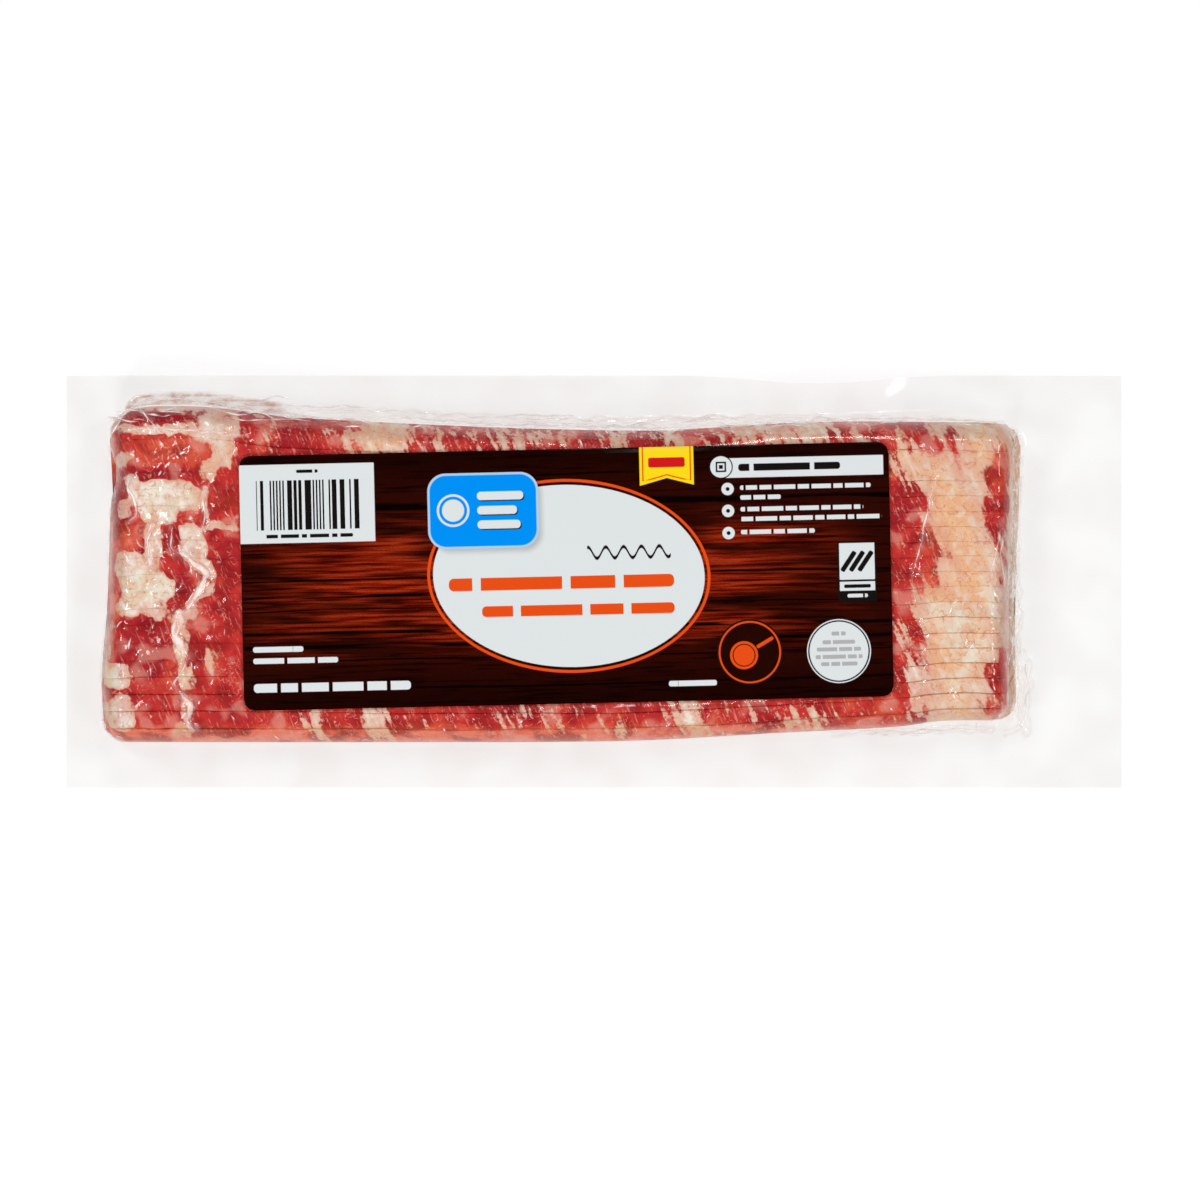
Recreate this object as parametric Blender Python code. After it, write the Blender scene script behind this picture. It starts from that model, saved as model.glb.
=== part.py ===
"""A vacuum pack of shingled bacon, label side up.

One clear pouch is drawn down over a low block of overlapping slices, so the
pouch is a single solid: a thin flat margin where its two films are welded
together, a skirt where the film leaves the block, and a top that steps over
each slice. A thin printed label lies on the top.

Metres, +Z up. The origin is on the table, under the middle of the pouch.
+X runs along the slices and +Y towards the far long edge.
"""

import math

import bmesh
import bpy

MM = 0.001

# The flat pouch
POUCH_LENGTH = 330 * MM
POUCH_WIDTH = 129 * MM
MARGIN_THICK = 0.5 * MM
MARGIN_HEIGHT = 1.2 * MM
MARGIN_WAVE = 0.25 * MM
MARGIN_RINGS = (0.35, 0.7, 1.0)  # lines round the margin: share of the way from the skirt to the edge

# One stretch of the margin's far edge curls up
CURL_CENTRE = 69 * MM
CURL_HALF_LENGTH = 42 * MM
CURL_START = 50 * MM
CURL_RISE = 6.5 * MM
CURL_DRAW_IN = 2.8 * MM

# The block of slices: its height, and each wall as a smooth curve through (along, out) places in mm
BLOCK_HEIGHT = 27 * MM
NEAR_WALL = ((-152, -50.0), (-60, -50.0), (10, -49.6), (60, -47.0), (94, -45.2), (108, -43.4), (130, -43.4))
FAR_WALL = ((-152, 52.0), (-138, 54.6), (-118, 54.4), (-92, 51.2), (10, 47.2), (70, 49.8), (130, 49.6))
LEFT_WALL = ((-50, -151.2), (-30, -152.0), (-5, -150.0), (24, -149.2), (33, -147.6), (42, -149.6))
RIGHT_WALL = ((-44, 128.6), (-10, 128.0), (20, 129.2), (50, 130.0))
CORNER_ROUND = 7 * MM

# The walls rise to this height, then a shoulder of this width rounds over to the top
WALL_HEIGHT = 10 * MM
SHOULDER = {"near": 7 * MM, "far": 8 * MM, "left": 8 * MM, "right": 6.5 * MM}

# The film's skirt leaves each wall and meets the margin at this distance from it
SKIRT = {"near": 2.2 * MM, "far": 4.6 * MM, "left": 3.0 * MM, "right": 6.0 * MM}
SKIRT_MIDDLE = (0.28, 0.42)  # share of the skirt's reach, share of the wall's height

# The slices that show on the top, from the near wall to the far one
SLICE_PITCH = 4.9 * MM
NARROW_SLICES = 16
WIDE_SLICES = 2
WIDE_FACTOR = 2.0
STEP_HEIGHT = 0.9 * MM
STEP_ROWS = ((0.0, 1.0), (0.5, 0.55), (0.93, 0.0))  # place across a slice, share of the step's height
END_STAGGER = 0.4 * MM
STAGGER_TURN = 2.4
COLUMNS = 36
END_COLUMNS = (0.0, 0.004, 0.012, 0.024)

# The label, and how far round it the steps are pressed flat
LABEL_LENGTH = 199 * MM
LABEL_WIDTH = 78 * MM
LABEL_THICK = 0.3 * MM
LABEL_GAP = 0.4 * MM
LABEL_CENTRE = (-8.5 * MM, 1.6 * MM)
LABEL_TURN = math.radians(1.3)
LABEL_CORNER = 3.4 * MM
LABEL_CORNER_LINES = (0.0, 0.12, 0.45, 1.0)
LABEL_CELL = 6 * MM
PRESSED_PAST_END = 8 * MM
PRESSED_PAST_SIDE = 2.5 * MM
PRESSED_STEP = 0.2

MEAT_PINK = (0.62, 0.16, 0.13, 1.0)
LABEL_BROWN = (0.085, 0.022, 0.012, 1.0)


def curve_through(places, at):
    """The height at a place on a smooth curve through these places, which are in mm."""
    at = at / MM
    if at <= places[0][0]:
        return places[0][1] * MM
    if at >= places[-1][0]:
        return places[-1][1] * MM
    last = len(places) - 1
    k = max(n for n in range(last) if places[n][0] <= at)
    (x1, y1), (x2, y2) = places[k], places[k + 1]
    x0, y0 = places[max(k - 1, 0)]
    x3, y3 = places[min(k + 2, last)]
    span = x2 - x1
    rise_1 = span * (y2 - y0) / (x2 - x0)
    rise_2 = span * (y3 - y1) / (x3 - x1)
    q = (at - x1) / span
    start = (2 * q**3 - 3 * q**2 + 1) * y1 + (q**3 - 2 * q**2 + q) * rise_1
    end = (3 * q**2 - 2 * q**3) * y2 + (q**3 - q**2) * rise_2
    return (start + end) * MM


def drawn_in(distance, radius):
    """How far a round corner draws an edge in, at this distance from the edge beside it."""
    if distance >= radius:
        return 0.0
    return radius - math.sqrt(radius**2 - (radius - max(distance, 0.0)) ** 2)


def end_walls(y, near, far):
    """Where the left and right walls stand, on a line across the block at this y."""
    corner = drawn_in(min(y - near, far - y), CORNER_ROUND)
    return curve_through(LEFT_WALL, y) + corner, curve_through(RIGHT_WALL, y) - corner


def block_place(along, across):
    """A place on the block's plan, from its share of the length and of the width."""
    x = 0.0
    for _ in range(4):
        near = curve_through(NEAR_WALL, x)
        far = curve_through(FAR_WALL, x)
        y = near + (far - near) * across
        left, right = end_walls(y, near, far)
        x = left + (right - left) * along
    return x, y


def quarter_round(distance, width):
    """Rises from 0 to 1 over this width, as a quarter of an ellipse."""
    share = min(max(distance / width, 0.0), 1.0)
    return math.sqrt(1 - (1 - share) ** 2)


def smooth_top(x, y):
    """The height of the block's top, as it would be without its steps."""
    near = curve_through(NEAR_WALL, x)
    far = curve_through(FAR_WALL, x)
    left, right = end_walls(y, near, far)
    share = (
        quarter_round(y - near, SHOULDER["near"])
        * quarter_round(far - y, SHOULDER["far"])
        * quarter_round(x - left, SHOULDER["left"])
        * quarter_round(right - x, SHOULDER["right"])
    )
    sway = 0.35 * MM * math.sin(x / (41 * MM)) * math.sin(y / (23 * MM) + 0.8)
    return WALL_HEIGHT + (BLOCK_HEIGHT - STEP_HEIGHT - WALL_HEIGHT + sway) * share


def under_label(x, y):
    """True where the label presses the steps flat."""
    dx, dy = x - LABEL_CENTRE[0], y - LABEL_CENTRE[1]
    along = dx * math.cos(LABEL_TURN) + dy * math.sin(LABEL_TURN)
    across = dy * math.cos(LABEL_TURN) - dx * math.sin(LABEL_TURN)
    past_end = abs(along) - LABEL_LENGTH / 2
    past_side = abs(across) - LABEL_WIDTH / 2
    return past_end < PRESSED_PAST_END and past_side < PRESSED_PAST_SIDE


def slice_rows():
    """The rows across the block: share of the width, share of the step's height, shift along X."""
    widths = [SLICE_PITCH] * NARROW_SLICES + [SLICE_PITCH * WIDE_FACTOR] * WIDE_SLICES
    total = sum(widths)
    rows = []
    start = 0.0
    for number, width in enumerate(widths):
        shift = END_STAGGER * math.sin(STAGGER_TURN * number)
        for place, lift in STEP_ROWS:
            rows.append(((start + place * width) / total, lift, shift))
        start += width
    rows.append((1.0, 0.0, shift))
    return rows


def column_places():
    """The columns along the block, closer together where it rounds down to the end walls."""
    first = END_COLUMNS[-1]
    middle = [first + (1 - 2 * first) * n / COLUMNS for n in range(1, COLUMNS)]
    return list(END_COLUMNS) + middle + [1 - share for share in reversed(END_COLUMNS)]


def curl(x):
    """How much of the curl stands at this place along the far edge, from 0 to 1."""
    away = abs(x - CURL_CENTRE) / CURL_HALF_LENGTH
    return 0.0 if away >= 1 else 0.5 + 0.5 * math.cos(math.pi * away)


def margin_height(x, y):
    """The height of the margin's top: slow waves, and the curl of the far edge."""
    wave = MARGIN_WAVE * (math.sin(x / (38 * MM)) + math.sin(x / (17 * MM) + y / (30 * MM)))
    outward = min(max((y - CURL_START) / (POUCH_WIDTH / 2 - CURL_START), 0.0), 1.0)
    return MARGIN_HEIGHT + MARGIN_THICK + wave + CURL_RISE * curl(x) * outward**2


def wall_places(columns, rows):
    """Each place round the block's foot: its grid place, and the ways out of the block in x and in y."""
    last_i, last_j = len(columns) - 1, len(rows) - 1
    loop = [(i, 0) for i in range(last_i)]
    loop += [(last_i, j) for j in range(last_j)]
    loop += [(i, last_j) for i in range(last_i, 0, -1)]
    loop += [(0, j) for j in range(last_j, 0, -1)]
    return loop


def outward(i, j, columns, rows, y, near, far):
    """The way straight out of the block's wall, turning round its corners."""
    way_x = -1 if i == 0 else 1 if i == len(columns) - 1 else 0
    way_y = -1 if y - near < far - y else 1
    if way_x == 0 or j in (0, len(rows) - 1):
        return 0.0, way_y
    turned = max(0.0, 1 - min(y - near, far - y) / CORNER_ROUND)
    return way_x * math.sqrt(1 - turned**2), way_y * turned


def ring_points(i, j, columns, rows):
    """The film outside one place of the wall: skirt middle and foot, then across the margin to its edge."""
    x, y = block_place(columns[i], rows[j][0])
    near = curve_through(NEAR_WALL, x)
    far = curve_through(FAR_WALL, x)
    out_x, out_y = outward(i, j, columns, rows, y, near, far)
    end = SKIRT["left"] if out_x < 0 else SKIRT["right"]
    side = SKIRT["near"] if out_y < 0 else SKIRT["far"]
    reach = abs(out_x) * end + abs(out_y) * side
    middle = reach * SKIRT_MIDDLE[0]
    foot = (x + out_x * reach, y + out_y * reach)
    points = [(x + out_x * middle, y + out_y * middle, WALL_HEIGHT * SKIRT_MIDDLE[1])]
    points.append((*foot, margin_height(*foot)))
    edge_x = POUCH_LENGTH * (columns[i] - 0.5)
    edge_y = POUCH_WIDTH * (rows[j][0] - 0.5)
    if j == len(rows) - 1:
        edge_y -= CURL_DRAW_IN * curl(edge_x)
    for share in MARGIN_RINGS:
        margin_x = foot[0] + (edge_x - foot[0]) * share
        margin_y = foot[1] + (edge_y - foot[1]) * share
        points.append((margin_x, margin_y, margin_height(margin_x, margin_y)))
    return points


def make_pouch():
    """The pouch round its slices, as one closed mesh."""
    mesh = bmesh.new()
    columns = column_places()
    rows = slice_rows()
    top = []
    for along in columns:
        column = []
        for across, lift, shift in rows:
            x, y = block_place(along, across)
            x += shift * abs(2 * along - 1) ** 8
            pressed = PRESSED_STEP if under_label(x, y) else 1.0
            column.append(mesh.verts.new((x, y, smooth_top(x, y) + STEP_HEIGHT * lift * pressed)))
        top.append(column)
    for left_column, right_column in zip(top, top[1:]):
        for j in range(len(rows) - 1):
            mesh.faces.new((left_column[j], right_column[j], right_column[j + 1]))
            mesh.faces.new((left_column[j], right_column[j + 1], left_column[j + 1]))

    wall = wall_places(columns, rows)
    above = [[top[i][j] for i, j in wall]]
    below = []
    spokes = [ring_points(i, j, columns, rows) for i, j in wall]
    for number, ring in enumerate(zip(*spokes)):
        above.append([mesh.verts.new(point) for point in ring])
        if number == 0:
            below.append([mesh.verts.new((x, y, 0.0)) for x, y, _ in ring])
        else:
            below.append([mesh.verts.new((x, y, z - MARGIN_THICK)) for x, y, z in ring])
    rings = above + below[::-1]
    for inner, outer in zip(rings, rings[1:]):
        join_rings(mesh, inner, outer)
    mesh.faces.new(below[0])
    return mesh


def join_rings(mesh, inner, outer):
    """Triangles between two rings of as many points."""
    count = len(inner)
    for n in range(count):
        after = (n + 1) % count
        mesh.faces.new((inner[n], outer[n], outer[after]))
        mesh.faces.new((inner[n], outer[after], inner[after]))


def label_lines(length):
    """Lines across the label, closer together at its round corners; the middle of the label is 0."""
    half = length / 2
    corner = [half - LABEL_CORNER * share for share in LABEL_CORNER_LINES]
    inner = half - LABEL_CORNER
    cells = round(2 * inner / LABEL_CELL)
    middle = [2 * inner * n / cells - inner for n in range(1, cells)]
    return [-place for place in corner] + middle + corner[::-1]


def label_sheet(mesh, above):
    """One face of the label: a sheet with round corners that follows the block's top from above."""
    sheet = []
    for u in label_lines(LABEL_LENGTH):
        line = []
        for v in label_lines(LABEL_WIDTH):
            corner = drawn_in(LABEL_WIDTH / 2 - abs(v), LABEL_CORNER)
            x = u * (1 - corner / (LABEL_LENGTH / 2))
            world_x = LABEL_CENTRE[0] + x * math.cos(LABEL_TURN) - v * math.sin(LABEL_TURN)
            world_y = LABEL_CENTRE[1] + x * math.sin(LABEL_TURN) + v * math.cos(LABEL_TURN)
            line.append(mesh.verts.new((x, v, smooth_top(world_x, world_y) + above)))
        sheet.append(line)
    return sheet


def make_label():
    """The label as a closed thin sheet, a little above the block's pressed steps."""
    mesh = bmesh.new()
    clear = STEP_HEIGHT * PRESSED_STEP + LABEL_GAP
    under = label_sheet(mesh, clear)
    top = label_sheet(mesh, clear + LABEL_THICK)
    wide, deep = len(top), len(top[0])
    for i in range(wide - 1):
        for j in range(deep - 1):
            for face in (top, under):
                mesh.faces.new((face[i][j], face[i + 1][j], face[i + 1][j + 1]))
                mesh.faces.new((face[i][j], face[i + 1][j + 1], face[i][j + 1]))
    loop = [(i, 0) for i in range(wide - 1)] + [(wide - 1, j) for j in range(deep - 1)]
    loop += [(i, deep - 1) for i in range(wide - 1, 0, -1)] + [(0, j) for j in range(deep - 1, 0, -1)]
    join_rings(mesh, [top[i][j] for i, j in loop], [under[i][j] for i, j in loop])
    return mesh


def plain_finish(name, colour, roughness):
    """A coat of one colour."""
    material = bpy.data.materials.new(name)
    material.use_nodes = True
    shader = material.node_tree.nodes["Principled BSDF"]
    shader.inputs["Base Color"].default_value = colour
    shader.inputs["Roughness"].default_value = roughness
    shader.inputs["Metallic"].default_value = 0.0
    return material


def add_object(name, built, material):
    """One named object from a finished mesh."""
    bmesh.ops.recalc_face_normals(built, faces=built.faces)
    data = bpy.data.meshes.new(name)
    built.to_mesh(data)
    built.free()
    data.materials.append(material)
    data.shade_smooth()
    data.set_sharp_from_angle(angle=math.radians(40))
    made = bpy.data.objects.new(name, data)
    bpy.context.scene.collection.objects.link(made)
    return made


for leftover in list(bpy.data.objects):
    bpy.data.objects.remove(leftover)

add_object("pouch", make_pouch(), plain_finish("bacon_in_clear_film", MEAT_PINK, 0.22))
label = add_object("label", make_label(), plain_finish("printed_label", LABEL_BROWN, 0.3))
label.location = (LABEL_CENTRE[0], LABEL_CENTRE[1], 0.0)
label.rotation_euler = (0.0, 0.0, LABEL_TURN)
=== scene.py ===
"""A vacuum pack of shingled bacon, photographed from above on a white table."""

import math
import random

import bpy
import numpy as np
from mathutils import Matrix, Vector


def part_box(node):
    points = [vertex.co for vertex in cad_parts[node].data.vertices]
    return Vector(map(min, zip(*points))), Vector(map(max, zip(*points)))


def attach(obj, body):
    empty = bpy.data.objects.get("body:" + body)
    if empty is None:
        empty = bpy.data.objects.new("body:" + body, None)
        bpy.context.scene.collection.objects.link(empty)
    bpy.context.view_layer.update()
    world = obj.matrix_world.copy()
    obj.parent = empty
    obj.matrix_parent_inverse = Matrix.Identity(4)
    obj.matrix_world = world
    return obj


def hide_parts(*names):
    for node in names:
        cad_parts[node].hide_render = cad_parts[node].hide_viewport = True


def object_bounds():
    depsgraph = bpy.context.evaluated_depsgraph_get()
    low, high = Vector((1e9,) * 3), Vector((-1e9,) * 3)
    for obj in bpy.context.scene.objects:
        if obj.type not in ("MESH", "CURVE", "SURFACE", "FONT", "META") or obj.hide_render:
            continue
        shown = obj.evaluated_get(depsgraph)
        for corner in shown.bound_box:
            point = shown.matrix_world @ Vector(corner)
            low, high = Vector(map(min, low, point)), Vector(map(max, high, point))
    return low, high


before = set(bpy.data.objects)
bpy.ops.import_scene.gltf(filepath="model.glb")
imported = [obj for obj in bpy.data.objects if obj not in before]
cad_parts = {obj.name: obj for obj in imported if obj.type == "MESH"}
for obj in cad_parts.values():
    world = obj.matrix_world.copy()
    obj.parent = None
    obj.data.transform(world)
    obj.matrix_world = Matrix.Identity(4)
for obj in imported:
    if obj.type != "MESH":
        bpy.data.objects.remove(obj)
cad_low, cad_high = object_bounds()
MM = 0.001


# The studio is a white table, six soft lights set well out to the sides, so that nothing shines straight
# down onto the flat label, and a long lens that looks straight down from a stand.
TABLE_SIZE = 6.0
TABLE_WHITE = 0.34
TABLE_MOTTLE, MOTTLES_PER_METRE = 0.01, 3.0
TABLE_GLOW = 0.68  # the table top is lit from inside, so that nothing on it throws a hard shadow
LIGHT_SIZE = 0.22
LIGHT_DISTANCE = 1.35
LIGHTS = (  # compass angle, height angle, power in watts
    (20, 58, 3.2),
    (80, 56, 3.1),
    (140, 58, 3.8),
    (200, 54, 3.4),
    (260, 50, 5.4),
    (320, 54, 3.4),
)
NEAR_LAMP = 5  # it stands where the curled margin would mirror it as one hard white spot
ROOM_LIGHT = 1.4
CEILING_LIGHT = 0.04  # the ceiling over the stand is dark, so that flat film and print stay clear
WALLS_TOP, CEILING = 0.1, 0.95  # the sines of the heights between which the room darkens
LENS_HEIGHT = 1.2
FRAME_WIDTH = 0.3674  # how much of the label's level the picture spans
LENS_PLACE = (1.84 * MM, -5.66 * MM)
SENSOR = 36.0


def aim(item, place, target):
    """Stands a light or a camera at a place, looking at a target."""
    item.location = place
    item.rotation_euler = (Vector(target) - Vector(place)).to_track_quat("-Z", "Y").to_euler()
    bpy.context.scene.collection.objects.link(item)


def studio_light(number, compass, height, watts):
    """A square soft light."""
    lamp = bpy.data.lights.new(f"soft_light_{number}", "AREA")
    lamp.shape = "SQUARE"
    lamp.size = LIGHT_SIZE
    lamp.energy = watts
    turn, tilt = math.radians(compass), math.radians(height)
    out = Vector((math.cos(turn) * math.cos(tilt), math.sin(turn) * math.cos(tilt), math.sin(tilt)))
    stand = bpy.data.objects.new(f"soft_light_{number}", lamp)
    stand.visible_glossy = number != NEAR_LAMP
    aim(stand, out * LIGHT_DISTANCE, (0, 0, 0))


def white_table():
    """The table top, with the faintest mottle."""
    half = TABLE_SIZE / 2
    corners = [(-half, -half, 0), (half, -half, 0), (half, half, 0), (-half, half, 0)]
    data = bpy.data.meshes.new("white_table")
    data.from_pydata(corners, [], [(0, 1, 2, 3)])
    made = bpy.data.objects.new("white_table", data)
    bpy.context.scene.collection.objects.link(made)
    material = bpy.data.materials.new("white_table")
    material.use_nodes = True
    tree = material.node_tree
    shader = tree.nodes["Principled BSDF"]
    shader.inputs["Roughness"].default_value = 0.9
    shader.inputs["Specular IOR Level"].default_value = 0.1
    shader.inputs["Emission Color"].default_value = (1, 1, 1, 1)
    shader.inputs["Emission Strength"].default_value = TABLE_GLOW
    mottle = tree.nodes.new("ShaderNodeTexNoise")
    mottle.inputs["Scale"].default_value = MOTTLES_PER_METRE
    tones = tree.nodes.new("ShaderNodeValToRGB")
    tones.color_ramp.elements[0].color = (TABLE_WHITE - TABLE_MOTTLE,) * 3 + (1,)
    tones.color_ramp.elements[1].color = (TABLE_WHITE + TABLE_MOTTLE,) * 3 + (1,)
    tree.links.new(mottle.outputs["Fac"], tones.inputs["Fac"])
    tree.links.new(tones.outputs["Color"], shader.inputs["Base Color"])
    material.cycles.emission_sampling = "NONE"
    data.materials.append(material)


white_table()
for lamp_number, lamp_place in enumerate(LIGHTS, 1):
    studio_light(lamp_number, *lamp_place)

room = bpy.data.worlds.new("room")
room.use_nodes = True
room_tree = room.node_tree
room_parts = room_tree.nodes.new("ShaderNodeSeparateXYZ")
room_fade = room_tree.nodes.new("ShaderNodeMapRange")
room_ends = {"From Min": WALLS_TOP, "From Max": CEILING, "To Min": ROOM_LIGHT, "To Max": CEILING_LIGHT}
for socket, value in room_ends.items():
    room_fade.inputs[socket].default_value = value
room_tree.links.new(room_tree.nodes.new("ShaderNodeTexCoord").outputs["Generated"], room_parts.inputs[0])
room_tree.links.new(room_parts.outputs["Z"], room_fade.inputs["Value"])
room_tree.links.new(room_fade.outputs["Result"], room_tree.nodes["Background"].inputs["Strength"])
bpy.context.scene.world = room
bpy.context.scene.view_settings.view_transform = "Standard"

label_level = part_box("label")[1].z
lens = bpy.data.cameras.new("stand_camera")
lens.sensor_width = SENSOR
lens.lens = SENSOR * LENS_HEIGHT / FRAME_WIDTH
camera = bpy.data.objects.new("stand_camera", lens)
aim(camera, (*LENS_PLACE, label_level + LENS_HEIGHT), (*LENS_PLACE, 0))
camera.rotation_euler = (0, 0, 0)
bpy.context.scene.camera = camera


# The bacon is eighteen thick slices of smoked belly, each laid a little past the last, so that they lean on
# one another like fallen dominoes. Only a narrow strip along each one's upper edge shows.
NEAR_WALL = ((-152, -50.0), (-60, -50.0), (10, -49.6), (60, -47.0), (94, -45.2), (108, -43.4), (130, -43.4))
FAR_WALL = ((-152, 52.0), (-138, 54.6), (-118, 54.4), (-92, 51.2), (10, 47.2), (70, 49.8), (130, 49.6))
LEFT_WALL = ((-50, -151.2), (-30, -152.0), (-5, -150.0), (24, -149.2), (33, -147.6), (42, -149.6))
RIGHT_WALL = ((-44, 128.6), (-10, 128.0), (20, 129.2), (50, 130.0))
CORNER_ROUND = 7.0
BLOCK_HEIGHT = 27.0
WALL_HEIGHT = 10.0
SHOULDER_NEAR, SHOULDER_FAR, SHOULDER_LEFT, SHOULDER_RIGHT = 7.0, 8.0, 8.0, 6.5
SLICE_STRIPS = [1.0] * 16 + [2.0] * 2  # how wide each slice's strip is, in strips
BLOCK_WIDTH = 98.0
STEP_HEIGHT = 0.9
SWAY, SWAY_LENGTH, SWAY_WIDTH = 0.35, 41, 23  # the block's top sways a little along and across
LABEL_LENGTH, LABEL_WIDTH = 199.0, 78.0
LABEL_MIDDLE = (-8.5, 1.6)
LABEL_TURN = math.radians(1.3)
PRESSED_STEP = 0.2
PRESSED_PAST_END, PRESSED_PAST_SIDE = 8.0, 2.5

FLOOR_GAP = 0.45
FILM_FOOT = 1.7
SKIRT_HOLLOW = 2.6
FLARE_REACH, MOST_FLARE = 5.6, 4.0
FLARED_END = 0.015  # the share of a slice's length that spreads at either end
LEFT_FLARE = 0.6  # how far it spreads at the left end, against the right one
FILM_GAP = 0.45
SLICE_GAP = 0.06
CREST_WANDER = 0.3
END_STAGGER = 0.12
LEAN_ANGLES = (84, 76, 67, 58, 48, 40)  # the first slices are packed upright against the near wall
END_STEPS = (0.0, 0.2, 0.6, 1.2, 2.0, 3.0, 4.2, 5.6, 7.0, 8.6)
FINE_COLUMN, COARSE_COLUMN = 0.68, 1.35
FINE_ENDS = (52.0, 46.0)
SLICE_LENGTH = 279.0
LUMP, LUMP_SIZE, SMALL_LUMP_SIZE = 0.42, 6.5, 3.0
FLAT_LUMP = 0.2  # the share of the lumps' height away from the smoothed left end
SMOOTHED_STEP = 0.7  # the share of a step's height that the drawn-in film takes off
SHOWN = 0.97  # a step has run out by this share of the strip that shows
END_TUCK = 0.4  # how far the slices stop short of the end walls
WALL_SHARE = 0.004  # no point lies nearer to a side wall than this share of the width
THINNEST, LOWEST_UNDERSIDE, LOWEST_TOP = 0.05, 0.3, 0.36
RIM_PAINTED_LIGHT = 0.75  # how far the colour is shifted to orange and salmon along the near and the left edge: painted light on their sloping shoulders
STRIP_PLACES = (0.0, 0.06, 0.16, 0.3, 0.45, 0.6, 0.75, 0.88, 0.98)  # across the strip that shows
HIDDEN_PLACES = (1.5, 3.5, 6.0, 9.0, 12.5, 16.5, 21.0, 26.0, 31.0, 37.0)  # below it, in mm
NOSE = ((0.0, 0.12), (-0.16, 0.4), (-0.16, 0.72), (-0.02, 0.95))  # the slice's edge: out in mm, share up


def curve_through(places, at):
    """A smooth curve through these places, read at one place or many."""
    xs, ys = np.array(places, float).T
    before = np.maximum(np.arange(len(xs)) - 1, 0)
    after = np.minimum(np.arange(len(xs)) + 1, len(xs) - 1)
    slope = (ys[after] - ys[before]) / (xs[after] - xs[before])
    at = np.clip(at, xs[0], xs[-1])
    k = np.clip(np.searchsorted(xs, at, side="right") - 1, 0, len(xs) - 2)
    span = xs[k + 1] - xs[k]
    q = (at - xs[k]) / span
    start = (2 * q**3 - 3 * q**2 + 1) * ys[k] + (q**3 - 2 * q**2 + q) * span * slope[k]
    end = (3 * q**2 - 2 * q**3) * ys[k + 1] + (q**3 - q**2) * span * slope[k + 1]
    return start + end


def drawn_in(distance):
    """How far the block's round corners draw an end wall in, at this distance from a side wall."""
    near_corner = np.clip(CORNER_ROUND - distance, 0, CORNER_ROUND)
    return CORNER_ROUND - np.sqrt(CORNER_ROUND**2 - near_corner**2)


def side_walls(x):
    """Where the near and far walls stand."""
    return curve_through(NEAR_WALL, x), curve_through(FAR_WALL, x)


def end_walls(y, near, far):
    """Where the left and right walls stand."""
    corner = drawn_in(np.minimum(y - near, far - y))
    return curve_through(LEFT_WALL, y) + corner, curve_through(RIGHT_WALL, y) - corner


def quarter_round(distance, width):
    """Rises from 0 to 1 over this width, as a quarter of an ellipse."""
    share = np.clip(distance / width, 0, 1)
    return np.sqrt(1 - (1 - share) ** 2)


def smooth_top(x, y):
    """The height of the block's top, as it would be without its steps."""
    near, far = side_walls(x)
    left, right = end_walls(y, near, far)
    share = (
        quarter_round(y - near, SHOULDER_NEAR)
        * quarter_round(far - y, SHOULDER_FAR)
        * quarter_round(x - left, SHOULDER_LEFT)
        * quarter_round(right - x, SHOULDER_RIGHT)
    )
    sway = SWAY * np.sin(x / SWAY_LENGTH) * np.sin(y / SWAY_WIDTH + 0.8)
    return WALL_HEIGHT + (BLOCK_HEIGHT - STEP_HEIGHT - WALL_HEIGHT + sway) * share


def label_place(x, y):
    """Where a place is on the label: along it and up it, from its middle."""
    dx, dy = x - LABEL_MIDDLE[0], y - LABEL_MIDDLE[1]
    along = dx * math.cos(LABEL_TURN) + dy * math.sin(LABEL_TURN)
    up = dy * math.cos(LABEL_TURN) - dx * math.sin(LABEL_TURN)
    return along, up


def step_left(x, y):
    """The share of a step's height that stands: little of it under the label."""
    along, up = label_place(x, y)
    past_end = (np.abs(along) - LABEL_LENGTH / 2) / PRESSED_PAST_END
    past_side = (np.abs(up) - LABEL_WIDTH / 2) / PRESSED_PAST_SIDE
    away = np.clip(np.maximum(past_end, past_side), 0, 1)
    return PRESSED_STEP + (1 - PRESSED_STEP) * away * away * (3 - 2 * away)


def wander(x, y, size, seed):
    """Smooth unevenness from -1 to 1 whose lumps are about this many mm across."""
    draw = random.Random(seed)
    total = 0.0
    for _ in range(6):
        way = draw.uniform(0, math.tau)
        pace = draw.uniform(0.6, 1.7) * math.pi / size
        start = draw.uniform(0, math.tau)
        total = total + np.sin((x * math.cos(way) + y * math.sin(way)) * pace + start)
    return total / 3.2


def crest_share(number, x):
    """Where a slice's upper edge runs, as a share of the block's width."""
    strip = sum(SLICE_STRIPS[:number]) / sum(SLICE_STRIPS)
    if number in (0, len(SLICE_STRIPS)):
        return strip + 0 * x
    uneven = 0.7 * wander(x, 0 * x, 26, 40 + number) + 0.3 * wander(x, 0 * x, 6, 80 + number)
    return strip + CREST_WANDER * uneven / BLOCK_WIDTH


def strip_width(number, x):
    """How much of a slice shows."""
    return (crest_share(number + 1, x) - crest_share(number, x)) * BLOCK_WIDTH


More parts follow.
